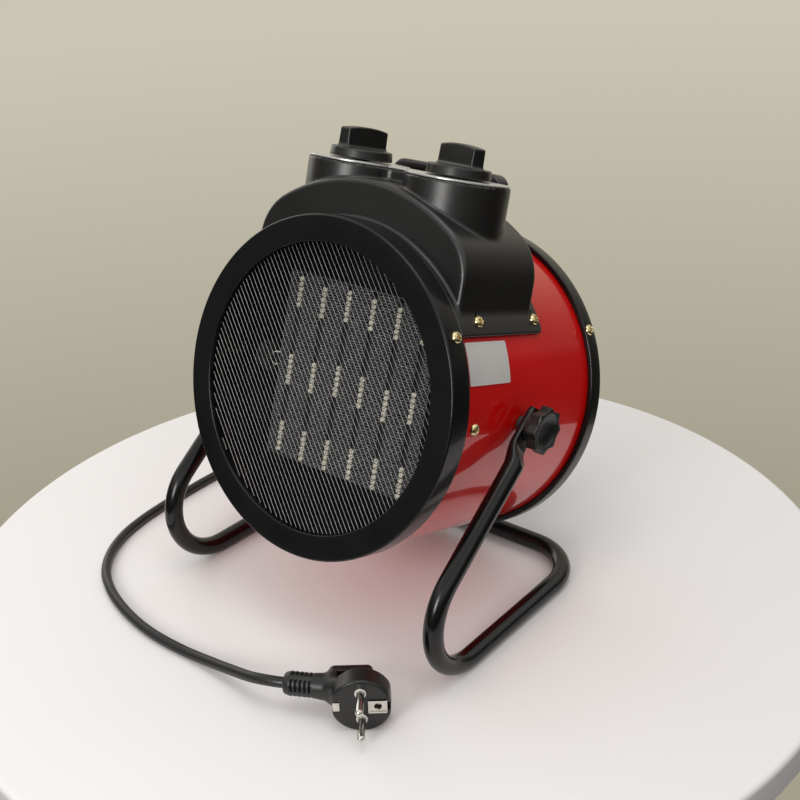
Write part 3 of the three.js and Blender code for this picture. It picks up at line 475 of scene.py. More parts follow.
# A line through corners, each one rounded by an arc of one radius.
def roundedPath(corners, radius, step):
    c = np.asarray(corners, float)
    line = [c[:1]]
    for before, corner, after in zip(c, c[1:], c[2:]):
        back = (before - corner) / np.linalg.norm(before - corner)
        on = (after - corner) / np.linalg.norm(after - corner)
        half = math.acos(back.dot(on)) / 2
        centre = corner + (back + on) / np.linalg.norm(back + on) * radius / math.sin(half)
        start = corner + back * radius / math.tan(half) - centre
        stop = corner + on * radius / math.tan(half) - centre
        sweep = math.pi - 2 * half
        share = np.linspace(0, 1, 40)[:, None]
        arc = np.sin((1 - share) * sweep) * start + np.sin(share * sweep) * stop
        line.append(centre + arc / math.sin(sweep))
    return evenly(np.vstack([*line, c[-1:]]), step)


# A round tube; near each end its section narrows across X, flush with the leg's inner side, and
# widens along the leg's own plane. Its last millimetres close like a cubic curve, so the end is
# nearly square with round corners.
def makeStand():
    s = stand
    foot = np.array([0, s["knee"], s["radius"]])
    pivotPoint = np.array([0, 0, s["pivotHeight"]])
    up = (pivotPoint - foot) / np.linalg.norm(pivotPoint - foot)
    reach = s["overhang"] + s["endHalfWidth"]
    tip = pivotPoint + up * reach
    side, rearSide = np.array([s["spread"], 0, 0]), np.array([s["rearSpread"], 0, 0])
    rear = np.array([0, s["crossbar"], s["radius"]])
    corners = [tip - side, foot - side, rear - rearSide, rear + rearSide, foot + side, tip + side]
    points, faces = tubeAlong(roundedPath(corners, s["bend"], s["step"]), s["radius"], s["flats"])
    legs = points[:, 2] > s["bend"]
    p = points[legs]
    across = np.array([0, -up[2], up[1]])
    along = (p - pivotPoint) @ up
    flat = eased(np.clip((s["flat"] + s["flare"] + along) / s["flare"], 0, 1))
    beyond = np.clip((along - reach + s["corner"]) / s["corner"], 0, 1)
    width = (s["radius"] + (s["endHalfWidth"] - s["radius"]) * flat) * (1 - beyond ** 3) ** (1 / 3)
    thick = s["radius"] + (s["endHalfThick"] - s["radius"]) * flat
    offset = (p - pivotPoint) @ across
    p += across * (offset * (width / s["radius"] - 1))[:, None]
    sides = np.sign(p[:, 0])
    away = p[:, 0] - sides * s["spread"]
    middle = sides * (s["spread"] - (s["radius"] - s["endHalfThick"]) * flat)
    p[:, 0] = np.where(flat > 0, middle + np.clip(away, -thick, thick), p[:, 0])
    points[legs] = p
    makePiece("stand_tube_bent", [(points, faces)], "blackTubeCoat", "stand", "stand_tube", place=onTable)


makeStand()


# Barrel: the painted drum and its two end rings

barrel = {"front": 80, "rear": 92.5, "ringRadius": 110, "drumRadius": 106, "wall": 1.2, "flange": 9,
          "fold": 1.6}
endRing = {"mouth": 93, "face": 2.6, "edge": 1.4, "backEdge": 1.2, "lip": 0.9, "frontDepth": 17.5,
           "rearDepth": 11.5}


# The drum's profile: a flange turned in at the front, a fold and the straight wall.
def makeDrum():
    b, f = barrel, barrel["fold"]
    inset = endRing["face"] + b["wall"] + 2 * touch
    front, rear = inset - b["front"], b["rear"] - inset
    lip, outer, inner = b["drumRadius"] - b["flange"], b["drumRadius"], b["drumRadius"] - b["wall"]
    fold = [[outer - f + f * math.sin(a), front + f - f * math.cos(a)] for a in np.radians([0, 22, 45, 68, 90])]
    length = [[outer, y] for y in np.linspace(front + 8, rear - 0.4, 12)]
    profile = [[lip, front], *fold, *length, [outer - 0.3, rear], [inner + 0.3, rear], [inner, rear - 0.3],
               [inner, front + b["wall"]], [lip, front + b["wall"]]]
    points, faces = turnedShape(profile, 256)
    piece = makePiece("drum_wall", [(points, faces)], "redEnamel", "barrel", "drum_shell")
    secondFinish(piece, "drumInside", np.hypot(*points[faces].mean(1)[:, [0, 2]].T) < outer - 1)


# Each ring's profile: a flat face with a quarter round at its mouth, front edge and back edge.
def makeRings():
    r, outer, bore = endRing, barrel["ringRadius"], barrel["drumRadius"] + touch
    quarter = np.radians(np.linspace(0, 90, 9))
    sine, cosine = 1 - np.sin(quarter), 1 - np.cos(quarter)
    mouth = np.stack([r["mouth"] + r["lip"] * cosine, r["lip"] * sine], -1)
    edge = np.stack([outer - r["edge"] * sine, r["edge"] * cosine], -1)
    for word, face, side in (("front", -barrel["front"], 1), ("rear", barrel["rear"], -1)):
        depth = r[word + "Depth"]
        back = np.stack([outer - r["backEdge"] * cosine, depth - r["backEdge"] * sine], -1)
        profile = np.array([[r["mouth"], r["face"]], *mouth, *edge, *back, [bore + 0.4, depth],
                            [bore, depth - 0.4], [bore, r["face"]]])
        ring = turnedShape(profile * [1, side] + [0, face], 288)
        makePiece(word + "_trim_ring", [ring], "blackPowderCoat", "barrel", word + "_ring")


makeDrum()
makeRings()


# Grilles: woven mesh on a round rim, with leaning wires and wires square to them. The mesh is black; the front's
# leaning wires are painted light grey, a painted highlight.

grille = {"rim": 105.6, "mouth": 93.6, "reach": 92.5, "halfThick": 0.6, "pitch": 3.3, "lean": 38,
          "rearLean": 45, "step": 1.65, "weave": 0.07, "bright": 0.2, "dark": 0.18, "behind": 0.4}


# Each wire is a thin six-sided bar along a chord of the mouth, in step with its crossings: it rises
# and falls a little like a cosine of the place along it, the other way on every second wire.
def wovenWires(lean, phase, level, wire):
    g = grille
    last = int(g["reach"] / g["pitch"])
    flats = onceRound(6)[None, :]
    wires = []
    for i in range(-last, last + 1):
        off = i * g["pitch"]
        half = math.sqrt(max(g["reach"] ** 2 - off ** 2, 0))
        if half < g["pitch"]:
            continue
        t = np.linspace(-half, half, max(int(2 * half / g["step"]), 4))[:, None]
        x = off + wire * np.cos(flats) + 0 * t
        y = level + g["weave"] * np.cos(math.pi * (t / g["pitch"] + i + phase)) + wire * np.sin(flats)
        x, z = turned(x, np.broadcast_to(t, x.shape), -math.radians(lean))
        wires.append(closedStack(np.stack([x, y, z], -1)))
    return wires


def makeGrille(word, face, inward, bright, lean):
    g = grille
    h = g["halfThick"]
    level = face + inward * (endRing["face"] + touch + h)
    rim = [[g["mouth"], level - h], [g["rim"], level - h], [g["rim"], level + h], [g["mouth"], level + h]]
    makePiece(word + "_mesh", wovenWires(lean, 0, level, g["bright"]), bright, "barrel", word + "_grille")
    ties = wovenWires(lean + 90, 1, level + inward * g["behind"], g["dark"])
    makePiece(word + "_mesh_ties", [*ties, turnedShape(rim, 144)], "meshTie", "barrel")


makeGrille("front", -barrel["front"], 1, "meshWireHighlight", -grille["lean"])
makeGrille("rear", barrel["rear"], -1, "meshTie", grille["rearLean"])


# Screws: pan heads with a cross recess, along a radius of the barrel

screw = {"head": 3.9, "height": 2.2, "shank": 1.7, "arm": 2.1, "slot": 0.5, "depth": 1.25}
saddle = {"angle": 55.01, "front": -40.5, "rear": 21.5, "radius": 109}
# Each row: angles round the barrel, Y of each, seat's radius, length, first spin and its step.
screwRows = {
    "front_ring_screw": ((60, 180, 300), (-69.3, -69.3, -69.3), barrel["ringRadius"], 8, 20, 37),
    "rear_ring_screw": ((60, 180, 300), (85, 85, 85), barrel["ringRadius"], 8, 65, 29),
    "plate_screw": ((-90, 90), (-50, -50), barrel["drumRadius"], 8, 12, 50),
    "housing_screw": ((-saddle["angle"], -saddle["angle"], saddle["angle"], saddle["angle"]),
                      (saddle["front"], saddle["rear"]) * 2, saddle["radius"], 4, 15, 33),
}


# A disc of rings and spokes lifted to a dome, sunk where it is inside either arm of a cross.
def screwHead(length):
    s = screw
    share = np.linspace(0, 1, 22)[:, None]
    a = onceRound(72)[None, :]
    x, y = s["head"] * share * np.cos(a), s["head"] * share * np.sin(a)
    dome = s["height"] * np.clip(1 - share ** 3.2, 0, 1) ** 0.62 + 0 * a
    first = np.maximum(np.abs(x) - s["arm"], np.abs(y) - s["slot"])
    second = np.maximum(np.abs(y) - s["arm"], np.abs(x) - s["slot"])
    sunk = np.clip(0.5 - np.minimum(first, second) / 0.3, 0, 1)
    head = np.stack([x, y, dome - s["depth"] * sunk * np.clip(1.35 - share, 0, 1)], -1)
    under = [np.stack([r * np.cos(a[0]), r * np.sin(a[0]), 0 * a[0] + h], -1)
             for r, h in ((s["head"] - 0.3, 0), (s["shank"], 0), (s["shank"], -length), (0, -length))]
    return np.concatenate([head, np.array(under)])


def radialScrew(angle, y, seat, length, spin):
    grid = screwHead(length)
    u, v = turned(grid[..., 0], grid[..., 1], math.radians(spin))
    x, z = turned(u, seat + touch + grid[..., 2], -math.radians(angle))
    return sheetOf(np.stack([x, y + v, z], -1))


for word, (angles, places, seat, length, spin, spinStep) in screwRows.items():
    for i, (angle, y) in enumerate(zip(angles, places)):
        makePiece(f"pan_{word}_{i + 1}", [radialScrew(angle, y, seat, length, spin + spinStep * i)],
                  "yellowZinc", "barrel", f"{word}_{i + 1}", sharpAt=50)
print("barrel ready")


# Heating block: folded fins between ceramic bars, in a thin sheet frame

block = {"front": -44, "depth": 18, "halfWidth": 64, "top": 65, "bottom": -62, "bars": 6, "pitch": 21.35,
         "barWidth": 4, "barEnd": 61.7, "fold": 1.75, "sheet": 0.15, "divider": 0.5, "frame": 0.6}
beads = {"middles": (50, -2, -50.7), "count": 6, "pitch": 3.55, "height": 3.1, "width": 3.6, "proud": 0.9,
         "corner": 0.7, "sunk": 1.6,
         "shifts": ((1.5, -1.5, 0.5, -0.5, -1.5, 0), (0, -1, 2, 0, -3.4, 0.5), (2, 0, 0, 0, -0.4, 0))}


# A strip folded up and down between two walls: at height z it crosses from one wall to the other
# and back once in each fold, with its turns a little uneven.
def foldedStrip(left, right, seed):
    b = block
    random = np.random.default_rng(seed)
    low, high, t = b["bottom"] + 1, b["top"] - 1, b["sheet"]
    z = np.linspace(low, high, 2 * int((high - low) / b["fold"]) + 1)
    z = np.repeat(z + random.uniform(-0.16, 0.16, len(z)), 2)
    z[0::2] -= 0.22
    z[1::2] += 0.22
    wall = (np.arange(len(z)) // 2 + seed) % 2
    x = np.where(wall == 0, left + 0.2, right - 0.2)
    bulge = random.uniform(-0.12, 0.12, len(z))
    front = b["front"] + random.uniform(0, 0.5, len(z))
    rear = np.full(len(z), b["front"] + b["depth"] - 0.4)
    corners = [np.stack([x + bulge, front, z - t], -1), np.stack([x + bulge, front, z + t], -1),
               np.stack([x, rear, z + t], -1), np.stack([x, rear, z - t], -1)]
    return closedStack(np.stack(corners, 1))


# A bead seen from the front is a rectangle with its corners cut.
def beadShape():
    w, h, c = beads["width"] / 2, beads["height"] / 2, beads["corner"]
    outline = np.array([[w, c - h], [w, h - c], [w - c, h], [c - w, h], [-w, h - c], [-w, c - h], [c - w, -h],
                        [w - c, -h]])
    points, faces = edgedPlate(outline, 0, beads["proud"] + 1.2, 0.35)
    return np.stack([points[:, 0], block["front"] + beads["sunk"] - points[:, 2], points[:, 1]], -1), faces


def makeHeatingBlock():
    b, half, gap = block, block["halfWidth"], block["frame"]
    front, back, low, high = b["front"], b["front"] + b["depth"], b["bottom"], b["top"]
    bars = (np.arange(b["bars"]) - (b["bars"] - 1) / 2) * b["pitch"]
    barHalf = b["barWidth"] / 2
    clear = barHalf + touch + 0.25
    walls = [0.5 - half, *[x + side * clear for x in bars for side in (-1, 1)], half - 0.5]
    strips, sheets = [], []
    seed = 11
    for left, right in zip(walls[0::2], walls[1::2]):
        middles = [left, (left + right) / 2, right] if right - left > 12 else [left, right]
        for a, c in zip(middles, middles[1:]):
            strips.append(foldedStrip(a + 0.3, c - 0.3, seed))
            seed += 1
        for x in middles[1:-1]:
            sheets.append(boxPart((x - b["divider"] / 2, front + 0.2, low + gap),
                                  (x + b["divider"] / 2, back - 0.2, high - gap)))
    sheets += [boxPart((x - 0.22, front + 0.35, low + gap), (x + 0.22, back - 0.2, high - gap)) for x in walls]
    sheets += [boxPart((-half, front + 0.3, z), (half, back, z + gap)) for z in (low, high - gap)]
    sheets += [boxPart((x, front + 0.3, low), (x + gap, back, high)) for x in (-half, half - gap)]
    piece = makePiece("fin_strips", strips, "finShadedSheet", "barrel", "fin_block", sharpAt=20)
    normals = np.zeros(3 * len(piece.data.polygons), np.float32)
    piece.data.polygons.foreach_get("normal", normals)
    # Faces that look out of the mouth get the lighter copy of the fin colour, a painted highlight; the rest keep
    # the darker copy, painted shade.
    mouthward = [0, -math.cos(lean), math.sin(lean)]   # edges that look out of the mouth shine
    secondFinish(piece, "finLitEdges", normals.reshape(-1, 3) @ mouthward > 0.6)
    makePiece("fin_frame", sheets, "finShadedSheet", "barrel")
    bead, beadFaces = beadShape()
    for i, x in enumerate(bars):
        spine = boxPart((x - barHalf + 0.2, front + beads["sunk"], -b["barEnd"]),
                        (x + barHalf - 0.2, front + 16, b["barEnd"]))
        makePiece(f"bar_sheath_{i + 1}", [spine], "stripSheet", "barrel")
        rows = [middle + shifts[i] + (k - (beads["count"] - 1) / 2) * beads["pitch"]
                for middle, shifts in zip(beads["middles"], beads["shifts"]) for k in range(beads["count"])]
        makePiece(f"ceramic_beads_{i + 1}", [(bead + [x, 0, z], beadFaces) for z in rows], "ceramicBead",
                  "barrel", f"ceramic_bar_{i + 1}", sharpAt=60)


# A bright wire loop at the thermal cutout's side of the block.
wireLoop = {"radius": 0.65, "route": [
    [-65, -42, 7], [-67.5, -44.4, 7.4], [-70, -45.4, 5.6], [-70.8, -45.6, 2.8], [-69.4, -45.2, 0.2],
    [-67, -44.2, -1.4], [-65, -42, -1.2]]}

makeHeatingBlock()
makePiece("cutout_wire", [tubeAlong(smoothPath(wireLoop["route"], 0.5), wireLoop["radius"], 10)],
          "nickelPlate", "barrel")
print("heating block ready")


# Control housing: an arch over the drum, a band that seats on it and two round towers

housing = {
    "halfWidth": 86, "crown": 134, "crownRadius": 130, "shoulder": 36, "front": -57, "rear": 22,
    "edge": 3, "wall": 2.6, "bandFront": -62.2, "bandRear": 29, "bandFoot": 54.02, "bandCorner": 5,
    "bandEdge": 1.7, "bandBlend": 1.8, "towerX": 40.5, "towerY": -18, "towerRadius": 34, "towerTop": 141.6,
    "towerEdge": 0.9, "towerBlend": 1.6, "waist": 10, "waistBlend": 5, "neck": 5.3, "notchHalf": 2.6,
    "notchRadius": 0.9, "cordHole": 6.3, "step": 1.05,
}


def towersField(x, y):
    h = housing
    rounds = np.hypot(np.abs(x) - h["towerX"], y - h["towerY"]) - h["towerRadius"]
    waist = np.maximum(np.abs(y - h["towerY"]) - h["waist"], np.abs(x) - h["towerX"])
    return roundUnion(rounds, waist, h["waistBlend"])


# The arch is a crown circle and two side walls, joined at the shoulders by a smaller radius: the
# distance to the same shape drawn one shoulder radius smaller, less that radius.
def archField(x, z):
    h = housing
    wide, inner = h["halfWidth"] - h["shoulder"], h["crownRadius"] - h["shoulder"]
    low = h["crown"] - h["crownRadius"]
    cornerZ = low + math.sqrt(inner ** 2 - wide ** 2)
    across = np.abs(x) - wide
    turn = np.arctan2(z - cornerZ, across)
    inWedge = (across > 0) & (turn > 0) & (turn < math.atan2(cornerZ - low, wide))
    flat = np.maximum(across, np.hypot(x, z - low) - inner)
    return np.where(inWedge, np.hypot(across, z - cornerZ), flat) - h["shoulder"]


# Arch, towers and band blended into one body, less the cavity, the drum's own room, two necks for
# the shafts, four screw notches and the cord's hole.
def housingField(x, y, z):
    h = housing
    arch = roundCut(archField(x, z), between(y, h["front"], h["rear"]), h["edge"])
    towers = roundCut(towersField(x, y), z - h["towerTop"], h["towerEdge"])
    body = roundUnion(arch, towers, h["towerBlend"])
    radius = np.hypot(x, z)
    rearEdge = roundCut(y - h["bandRear"], h["bandFoot"] - z, h["bandCorner"])
    band = roundCut(radius - saddle["radius"], np.maximum(rearEdge, h["bandFront"] - y), h["bandEdge"])
    shell = without(roundUnion(body, band, h["bandBlend"]), body + h["wall"], 0.1 - z)
    shell = np.maximum(shell, barrel["drumRadius"] + touch - radius)
    for side in (-1, 1):
        neck = np.hypot(x - side * h["towerX"], y - h["towerY"]) - h["neck"]
        shell = without(shell, neck, 120 - z)
        along = side * turned(x, z, math.radians(side * saddle["angle"]))[0] + h["notchHalf"]
        for place in (saddle["front"], saddle["rear"]):
            slot = np.hypot(np.maximum(np.abs(along) - h["notchHalf"], 0), y - place) - h["notchRadius"]
            shell = without(shell, slot, 60 - np.abs(x))
    return without(shell, np.hypot(x - relief["x"], z - relief["z"]) - h["cordHole"], 15 - y)


makePiece("control_housing_shell", [skinOf(housingField, (-96.5, -63.8, 52.5), (96.5, 30.6, 143), housing["step"])],
          "housingPlastic", "barrel", "control_housing", sharpAt=50)


# Face plate: the towers' outline, two arcs that meet at the waist, in thin bright sheet

facePlate = {"inset": 0.6, "thickness": 1.2, "edge": 0.25}


def makeFacePlate():
    radius, waist = housing["towerRadius"] - facePlate["inset"], housing["waist"] - facePlate["inset"]
    meet = math.asin(waist / radius)
    outline = []
    for side, start in ((1, -math.pi), (-1, 0)):
        a = np.linspace(start + meet, start + 2 * math.pi - meet, 90)
        outline.append(np.stack([side * housing["towerX"] + radius * np.cos(a),
                                 housing["towerY"] + radius * np.sin(a)], -1))
    low = housing["towerTop"] + touch
    sheet = edgedPlate(np.vstack(outline), low, low + facePlate["thickness"], facePlate["edge"])
    makePiece("face_sheet", [sheet], "silverFace", "barrel", "face_plate", sharpAt=40)


makeFacePlate()


# Knobs: a round skirt and a crowned bar, one body each with its joint

knob = {"radius": 21, "height": 20.5, "skirt": 6.5, "halfLength": 18.5, "halfWidth": 5, "crown": 1.7,
        "edge": 1, "blend": 2.5, "bore": 3.4, "boreTop": 14.4, "base": 144,
        "turns": {"thermostat": 86, "selector": -17.5}}


def knobField(x, y, z):
    k = knob
    radius = np.hypot(x, y)
    skirt = roundCut(radius - k["radius"] + 0.1 * z, between(z, 0, k["skirt"]), k["edge"])
    ends = np.hypot(x, y * 0.6) - k["halfLength"]
    sides = np.abs(y) - k["halfWidth"] + 0.035 * (z - k["skirt"])
    top = z - k["height"] + k["crown"] * (x / k["halfLength"]) ** 2
    bar = np.maximum(roundCut(roundCut(sides, ends, 1.2), top, k["edge"]), -z)
    whole = np.maximum(roundUnion(skirt, bar, k["blend"]), -z)
    return without(whole, radius - k["bore"], z - k["boreTop"])


def makeKnobs():
    points, faces = skinOf(knobField, (-22.4, -22.4, -1.2), (22.4, 22.4, 21.8), 0.62)
    for word, side in (("thermostat", -1), ("selector", 1)):
        x, y = turned(points[:, 0], points[:, 1], math.radians(knob["turns"][word]))
        placed = np.stack([x + side * housing["towerX"], y + housing["towerY"], points[:, 2] + knob["base"]], -1)
        makePiece(word + "_grip", [(placed, faces)], "knobPlastic", word, word + "_knob", sharpAt=45)


makeKnobs()
print("controls ready")


# Carry handle: a flat hoop behind the housing, standing on the band

handle = {"halfWidth": 46, "leg": 9, "top": 148, "bar": 7.5, "front": 22.3, "depth": 12, "corner": 9,
          "innerCorner": 3, "foot": 109.3, "edge": 2.6}


def handleField(x, y, z):
    h = handle
    outer = blockField(x, 0 * y, z - (h["top"] - 60), h["halfWidth"], 1000, 60, h["corner"])
    inner = blockField(x, 0 * y, z - (h["top"] - h["bar"] - 60), h["halfWidth"] - h["leg"], 1000, 60,
                       h["innerCorner"])
    hoop = roundCut(without(outer, inner), between(y, h["front"], h["front"] + h["depth"]), h["edge"])
    return np.maximum(hoop, h["foot"] - np.hypot(x, z))


makePiece("carry_handle_hoop", [skinOf(handleField, (-47.5, 21, 97), (47.5, 35.6, 149.4), 0.9)],
          "housingPlastic", "barrel", "carry_handle", sharpAt=50)


# Rating label: a bare thin sheet on the drum, its corners drawn in by quarter circles

label = {"from": 61.4, "to": 75.6, "front": -57.5, "rear": -14.5, "corner": 1.2, "thickness": 0.3}


def makeLabel():
    n = label
    radius = barrel["drumRadius"] + touch
    height = math.radians(n["to"] - n["from"]) * radius
    t = 0.5 - 0.5 * np.cos(np.linspace(0, math.pi, 25))
    near = np.maximum(n["corner"] - np.minimum(t, 1 - t) * height, 0)
    inset = n["corner"] - np.sqrt(np.maximum(n["corner"] ** 2 - near ** 2, 0))
    angle = (np.radians(n["from"]) + t * (height / radius))[:, None]
    u = np.linspace(0, 1, 25)[None, :]
    y = (n["front"] + inset)[:, None] + u * (n["rear"] - n["front"] - 2 * inset)[:, None]
    top, under = (np.stack([r * np.sin(angle) + 0 * u, y, r * np.cos(angle) + 0 * u], -1)
                  for r in (radius + n["thickness"], radius))
    makePiece("label_sheet", [closedStack(np.concatenate([top, under[:, ::-1]], 1))], "silverFoil", "barrel",
              "rating_label", sharpAt=60)


makeLabel()


# Strain relief: a collar on each side of the housing's wall and a ribbed taper to the cord, its
# grooves where a sine of the place along it is below zero

def makeRelief():
    y0, end = relief["rear"], relief["rear"] + relief["length"]
    along = np.linspace(y0 + touch + 3.4, end - 0.8, 90)
    share = (along - along[0]) / (along[-1] - along[0])
    groove = np.clip(np.sin(share * math.pi * 2 * relief["ribs"]) * 3, -1, 0) * 0.75
    body = 6.3 - 1.6 * share + groove * (share < 0.95)
    profile = [[0.05, y0 - 4.9], [8, y0 - 4.9], [8, y0 - 2.9], [6, y0 - 2.9], [6, y0 + touch],
               [7.6, y0 + touch], [8, y0 + touch + 0.5], [8, y0 + touch + 2.4], [7.4, y0 + touch + 3],
               *np.stack([body, along], -1).tolist(), [4.2, end], [0.05, end]]
    points, faces = turnedShape(profile, 48)
    makePiece("strain_relief_boot", [(points + [relief["x"], 0, relief["z"]], faces)], "cordRubber", "barrel",
              "strain_relief", sharpAt=40)


makeRelief()


# Tilt clamps: star knobs with a dished face, and the spacers between tube and drum

clampKnob = {"radius": 15.6, "scallop": 2.6, "lobes": 8, "neck": 10, "start": 115.4, "head": 120.3,
             "end": 127.4, "edge": 0.5, "bore": 3.3, "socket": 123.9, "dish": 11.3, "dishDepth": 3}
spacer = [[3.4, 106.4], [4.6, 106.4], [5, 106.8], [5, 110.4], [4.6, 110.8], [3.4, 110.8]]


# The rim dips between lobes by the size of a sine, and the face sinks by a fourth power.
def starField(y, z, out):
    c = clampKnob
    radius, turn = np.hypot(y, z), np.arctan2(z, y)
    valley = np.sqrt(np.sin(c["lobes"] / 2 * turn) ** 2 + 0.01)
    rim = (radius - c["radius"] + c["scallop"] * valley) * 0.9
    head = roundCut(rim, between(out, c["head"], c["end"]), c["edge"])
    neck = np.maximum(radius - c["neck"], between(out, c["start"], c["start"] + 5))
    depth = c["dishDepth"] * (1 - np.minimum(radius / c["dish"], 1.2) ** 4)
    whole = without(np.minimum(head, neck), (c["end"] - depth - out) * 0.75)
    return without(whole, radius - c["bore"], out - c["socket"])


def makeClamps():
    points, faces = skinOf(starField, (-17, -17, 114.6), (17, 17, 128.4), 0.5)
    ring, ringFaces = turnedShape(spacer, 64)
    for word, side in (("left", -1), ("right", 1)):
        makePiece("star_grip_" + word, [(points[:, [2, 0, 1]] * [side, 1, 1], faces)], "knobPlastic",
                  "clamp_" + word, "star_knob_" + word, sharpAt=40)
        makePiece("spacer_bush_" + word, [(ring[:, [1, 0, 2]] * [side, 1, 1], ringFaces)], "darkPlastic",
                  "barrel", "spacer_" + word)


makeClamps()
print("clamps ready")


# Plug: a round face with two flats, a ribbed arm and a finger lip on its back

plugBody = {"flats": 17.6, "face": 14, "armRadius": 9, "armEnd": 7.6, "tip": 6.4, "slotFrom": 29.6,
            "slotPitch": 2.9, "slotRows": 5, "lipWidth": 13.5, "lipHeight": 8.5, "lipShift": -7, "lipDepth": 27}
pin = {"radius": 2.4, "length": 19, "spread": 9.5, "root": 6, "collar": 3.5}
pinCollar = [[2.6, -0.3], [2.9, -0.5], [3.2, -0.5], [3.5, -0.2], [3.5, 0.9], [2.6, 0.9]]
# The rooms round the earth strap: middle and half width in X, half height and depth.
strapRooms = [(10, 5.9, 4.9, 1.4), (14, 4.8, 2.6, 4.4), (-16.5, 3.9, 3.4, 4.4)]
earthRails = [((4.2, -0.8, -4.5), (5, -0.1, 4.5)), ((5.1, -0.8, 3.7), (15.2, -0.1, 4.5)),
              ((5.1, -0.8, -4.5), (15.2, -0.1, -3.7))]


# Face, finger lip and arm blended into one body, less the arm's ribs, a waist behind the face,
# the rooms round the earth strap, and a recess and a bore for each pin.
def plugField(x, y, z):
    p = plugBody
    face = roundCut(np.hypot(x, z) - plug["radius"], np.abs(x) - p["flats"], 1.0)
    face = roundCut(face, between(y, 0, p["face"]), 1.6)
    side, inward = turned(y - plug["depth"], x, -math.radians(plug["lean"]))
    out, deep = -inward, np.hypot(side, z)
    radius = np.interp(out, [16, 30, plug["reach"] - 4, plug["reach"]],
                       [p["armRadius"], p["armEnd"], p["armEnd"], p["tip"]])
    arm = roundCut(deep - radius, between(out, 0, plug["reach"]), 1.2)
    along = (out - p["slotFrom"]) % p["slotPitch"] - p["slotPitch"] / 2
    lastSlot = p["slotFrom"] + p["slotRows"] * p["slotPitch"]
    ribs = np.maximum(np.abs(along) - 0.7, between(out, p["slotFrom"], lastSlot))
    around = (np.degrees(np.arctan2(z, -side)) - 27 + 45) % 90 - 45
    arm = without(arm, ribs, (np.abs(around) - 30) * 0.12, 5.4 - deep)
    back = blockField(x - p["lipShift"], y - (p["face"] + p["lipDepth"]) / 2, z, p["lipWidth"],
                      (p["lipDepth"] - p["face"]) / 2 + 4, p["lipHeight"], 3.5)
    body = roundUnion(roundUnion(face, back, 4), arm, 4)
    body = without(body, roundCut(np.abs(y - 19) - 4, 5.2 - np.abs(z), 0.8), -15 - x)
    for middle, halfWidth, halfHeight, depth in strapRooms:
        body = without(body, np.abs(x - middle) - halfWidth, np.abs(z) - halfHeight, y - depth)
    for side in (-1, 1):
        away = np.hypot(x, z - side * pin["spread"])
        body = without(body, away - pin["collar"] - 0.1, y - 1.0)
        body = without(body, away - pin["radius"] - 0.3, y - 6.4)
    return without(body, np.abs(x + 1) - 17, np.abs(z) - 2.4, np.abs(y - 3.4) - 1.1)


# A pin's profile: an oval nose and a straight side down to its root.
def makePlug():
    def plugPiece(name, shapes, finish, stands="", sharpAt=35):
        makePiece(name, shapes, finish, "stand", stands, sharpAt, lambda points: onTable(onPlug(points)))

    plugPiece("plug_grip", [skinOf(plugField, (-50.4, -1.2, -19.8), (19.8, 33.4, 19.8), 0.55)], "plugRubber",
              "plug_body", 45)
    lower, upper = [0, 0, -pin["spread"]], [0, 0, pin["spread"]]
    ring, ringFaces = turnedShape(pinCollar, 40)
    plugPiece("plug_pin_collars", [(ring + lower, ringFaces), (ring + upper, ringFaces)], "pinCollar")
    plugPiece("plug_earth_rails", [boxPart(*rail) for rail in earthRails], "nickelPlate")
    quarter = np.radians(np.linspace(0, 90, 8))
    nose = np.stack([pin["radius"] * np.sin(quarter),
                     -pin["length"] + pin["radius"] * (1 - np.cos(quarter)) * 0.9], -1)
    rod, rodFaces = turnedShape([*nose, [pin["radius"], -0.6], [pin["radius"], pin["root"]], [0, pin["root"]]], 40)
    plugPiece("plug_pin_round_upper", [(rod + upper, rodFaces)], "nickelPlate", "plug_pin_upper", 40)
    plugPiece("plug_pin_round_lower", [(rod + lower, rodFaces)], "nickelPlate", "plug_pin_lower", 40)


makePlug()
print("plug ready")


# Looks for the solids that stay as they are

kept = {
    "blackPowderCoat": "block_plate",
    "steelSheet": "block_bracket_top block_bracket_bottom motor_shaft motor_body motor_bracket "
                  "clamp_stud_left clamp_stud_right anchor_nut_left anchor_nut_right thermostat_shaft "
                  "selector_shaft",
    "darkPlastic": "thermal_cutout fan_rotor thermostat_body selector_body",
    "ceramicBead": "terminal_block",
    "nickelPlate": "plug_earth_strap",
}
for finish, nodes in kept.items():
    for name in nodes.split():
        materials = bpy.data.objects[name].data.materials
        materials.clear()
        materials.append(looks[finish])


# Stage and lamps: a round pale table before a wall that darkens downwards

stage = {"middle": (-0.002, -0.012), "radius": 0.315, "edge": 0.004, "thickness": 0.022,
         "wall": (0.6, 0.56, 0.455), "wallLow": (0.37, 0.345, 0.26), "wallDrop": (-0.5, -0.17),
         "mirrorSector": (0.4, 0.8)}
# Each lamp: place, aim, width and height, watts and colour.
lamps = {
    "ceilingPanel": ((0.1, -0.15, 1.35), (0, 0, 0.1), (0.6, 0.6), 2.8, (1, 0.985, 0.965)),
    "windowAhead": ((0.2, -1.33, 0.62), (0, 0, 0.15), (0.38, 0.48), 6.8, (1, 0.985, 0.97)),
    "windowLeft": ((-1.35, 0.3, 0.6), (0, 0, 0.15), (0.8, 1.0), 2.5, (1, 0.985, 0.97)),
}
# The room's colour by height: 0 is straight down, 0.5 the horizon and 1 straight up.
roomRamp = [(0.0, (0.03, 0.03, 0.03)), (0.47, (0.05, 0.048, 0.045)), (0.51, (0.18, 0.175, 0.162)),
            (0.57, (0.09, 0.088, 0.083)), (0.64, (0.2, 0.196, 0.188)), (0.73, (0.8, 0.79, 0.77)),
            (0.8, (1, 0.99, 0.97)), (0.88, (0.85, 0.84, 0.825)), (1.0, (0.6, 0.593, 0.582))]


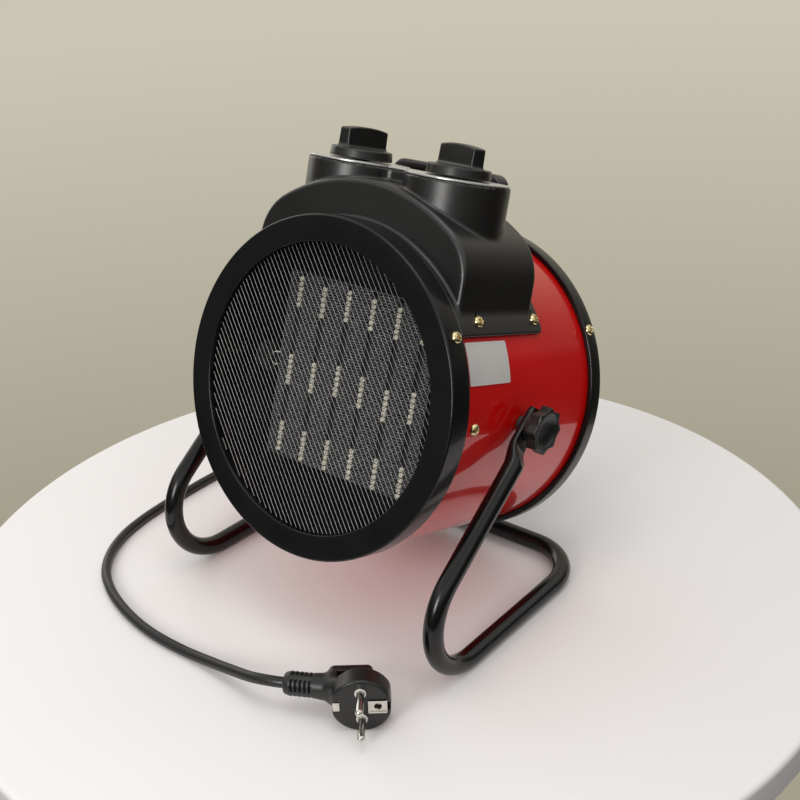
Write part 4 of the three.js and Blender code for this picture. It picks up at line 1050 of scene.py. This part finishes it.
# A disc with a quarter round edge, turned and laid flat.
def makeTable():
    t = stage
    quarter = np.radians(np.linspace(90, 0, 7))
    r = [0.0, *(t["radius"] - t["edge"] + t["edge"] * np.cos(quarter)), t["radius"], 0.0]
    z = [0.0, *(t["edge"] * (np.sin(quarter) - 1)), -t["thickness"], -t["thickness"]]
    points, faces = turnedShape(np.column_stack([r, z]), 200)
    makePiece("table", [(points[:, [0, 2, 1]] + [*t["middle"], 0], faces)], "paleTable", None,
                       place=np.asarray)


def addLamp(name, place, aim, size, power, tint):
    data = bpy.data.lights.new(name, "AREA")
    data.shape = "RECTANGLE"
    data.size, data.size_y = size
    data.energy = power
    data.color = tint
    lamp = addObject(name, data)
    turn = (Vector(aim) - Vector(place)).to_track_quat("-Z", "Y").to_matrix().to_4x4()
    lamp.matrix_world = Matrix.Translation(place) @ turn
    lamp.visible_camera = False


# Camera rays see the wall, and mirrors show it where they look the way the camera does. Other
# rays see the room: bright walls and ceiling above the horizon and a dark floor below it.
def lightRoom():
    world = bpy.data.worlds.new("room")
    world.use_nodes = True
    tree = world.node_tree
    place = addNode(tree, "TexCoord", {})["Generated"]
    up = addNode(tree, "SeparateXYZ", {0: place})["Z"]
    ramp = tree.nodes.new("ShaderNodeValToRGB")
    for i, (at, colour) in enumerate(roomRamp):
        stop = ramp.color_ramp.elements[i] if i < 2 else ramp.color_ramp.elements.new(at)
        stop.position = at
        stop.color = (*colour, 1)
    room = tree.nodes["Background"]
    tree.links.new(spread(tree, up, (-1, 1)), ramp.inputs["Fac"])
    tree.links.new(ramp.outputs["Color"], room.inputs["Color"])
    wall = mixed(tree, spread(tree, up, stage["wallDrop"]), stage["wallLow"], stage["wall"])
    pale = addNode(tree, "Background", {"Color": wall})[0]
    turn = math.radians(view["turn"])
    ahead = addNode(tree, "VectorMath", {0: place, 1: (-math.sin(turn), math.cos(turn), 0)},
                    operation="DOT_PRODUCT")["Value"]
    sector = spread(tree, ahead, stage["mirrorSector"])
    rays = addNode(tree, "LightPath", {})

    def combine(kind, a, b):
        return addNode(tree, "Math", {0: a, 1: b}, operation=kind)["Value"]

    mirrors = combine("MAXIMUM", rays["Is Glossy Ray"], rays["Is Transmission Ray"])
    shown = combine("MAXIMUM", rays["Is Camera Ray"], combine("MULTIPLY", mirrors, sector))
    mix = addNode(tree, "MixShader", {0: shown, 1: room.outputs[0], 2: pale})[0]
    tree.links.new(mix, tree.nodes["World Output"].inputs["Surface"])
    scene.world = world


makeTable()
lightRoom()
for name, row in lamps.items():
    addLamp(name, *row)
scene.view_settings.view_transform = "Standard"
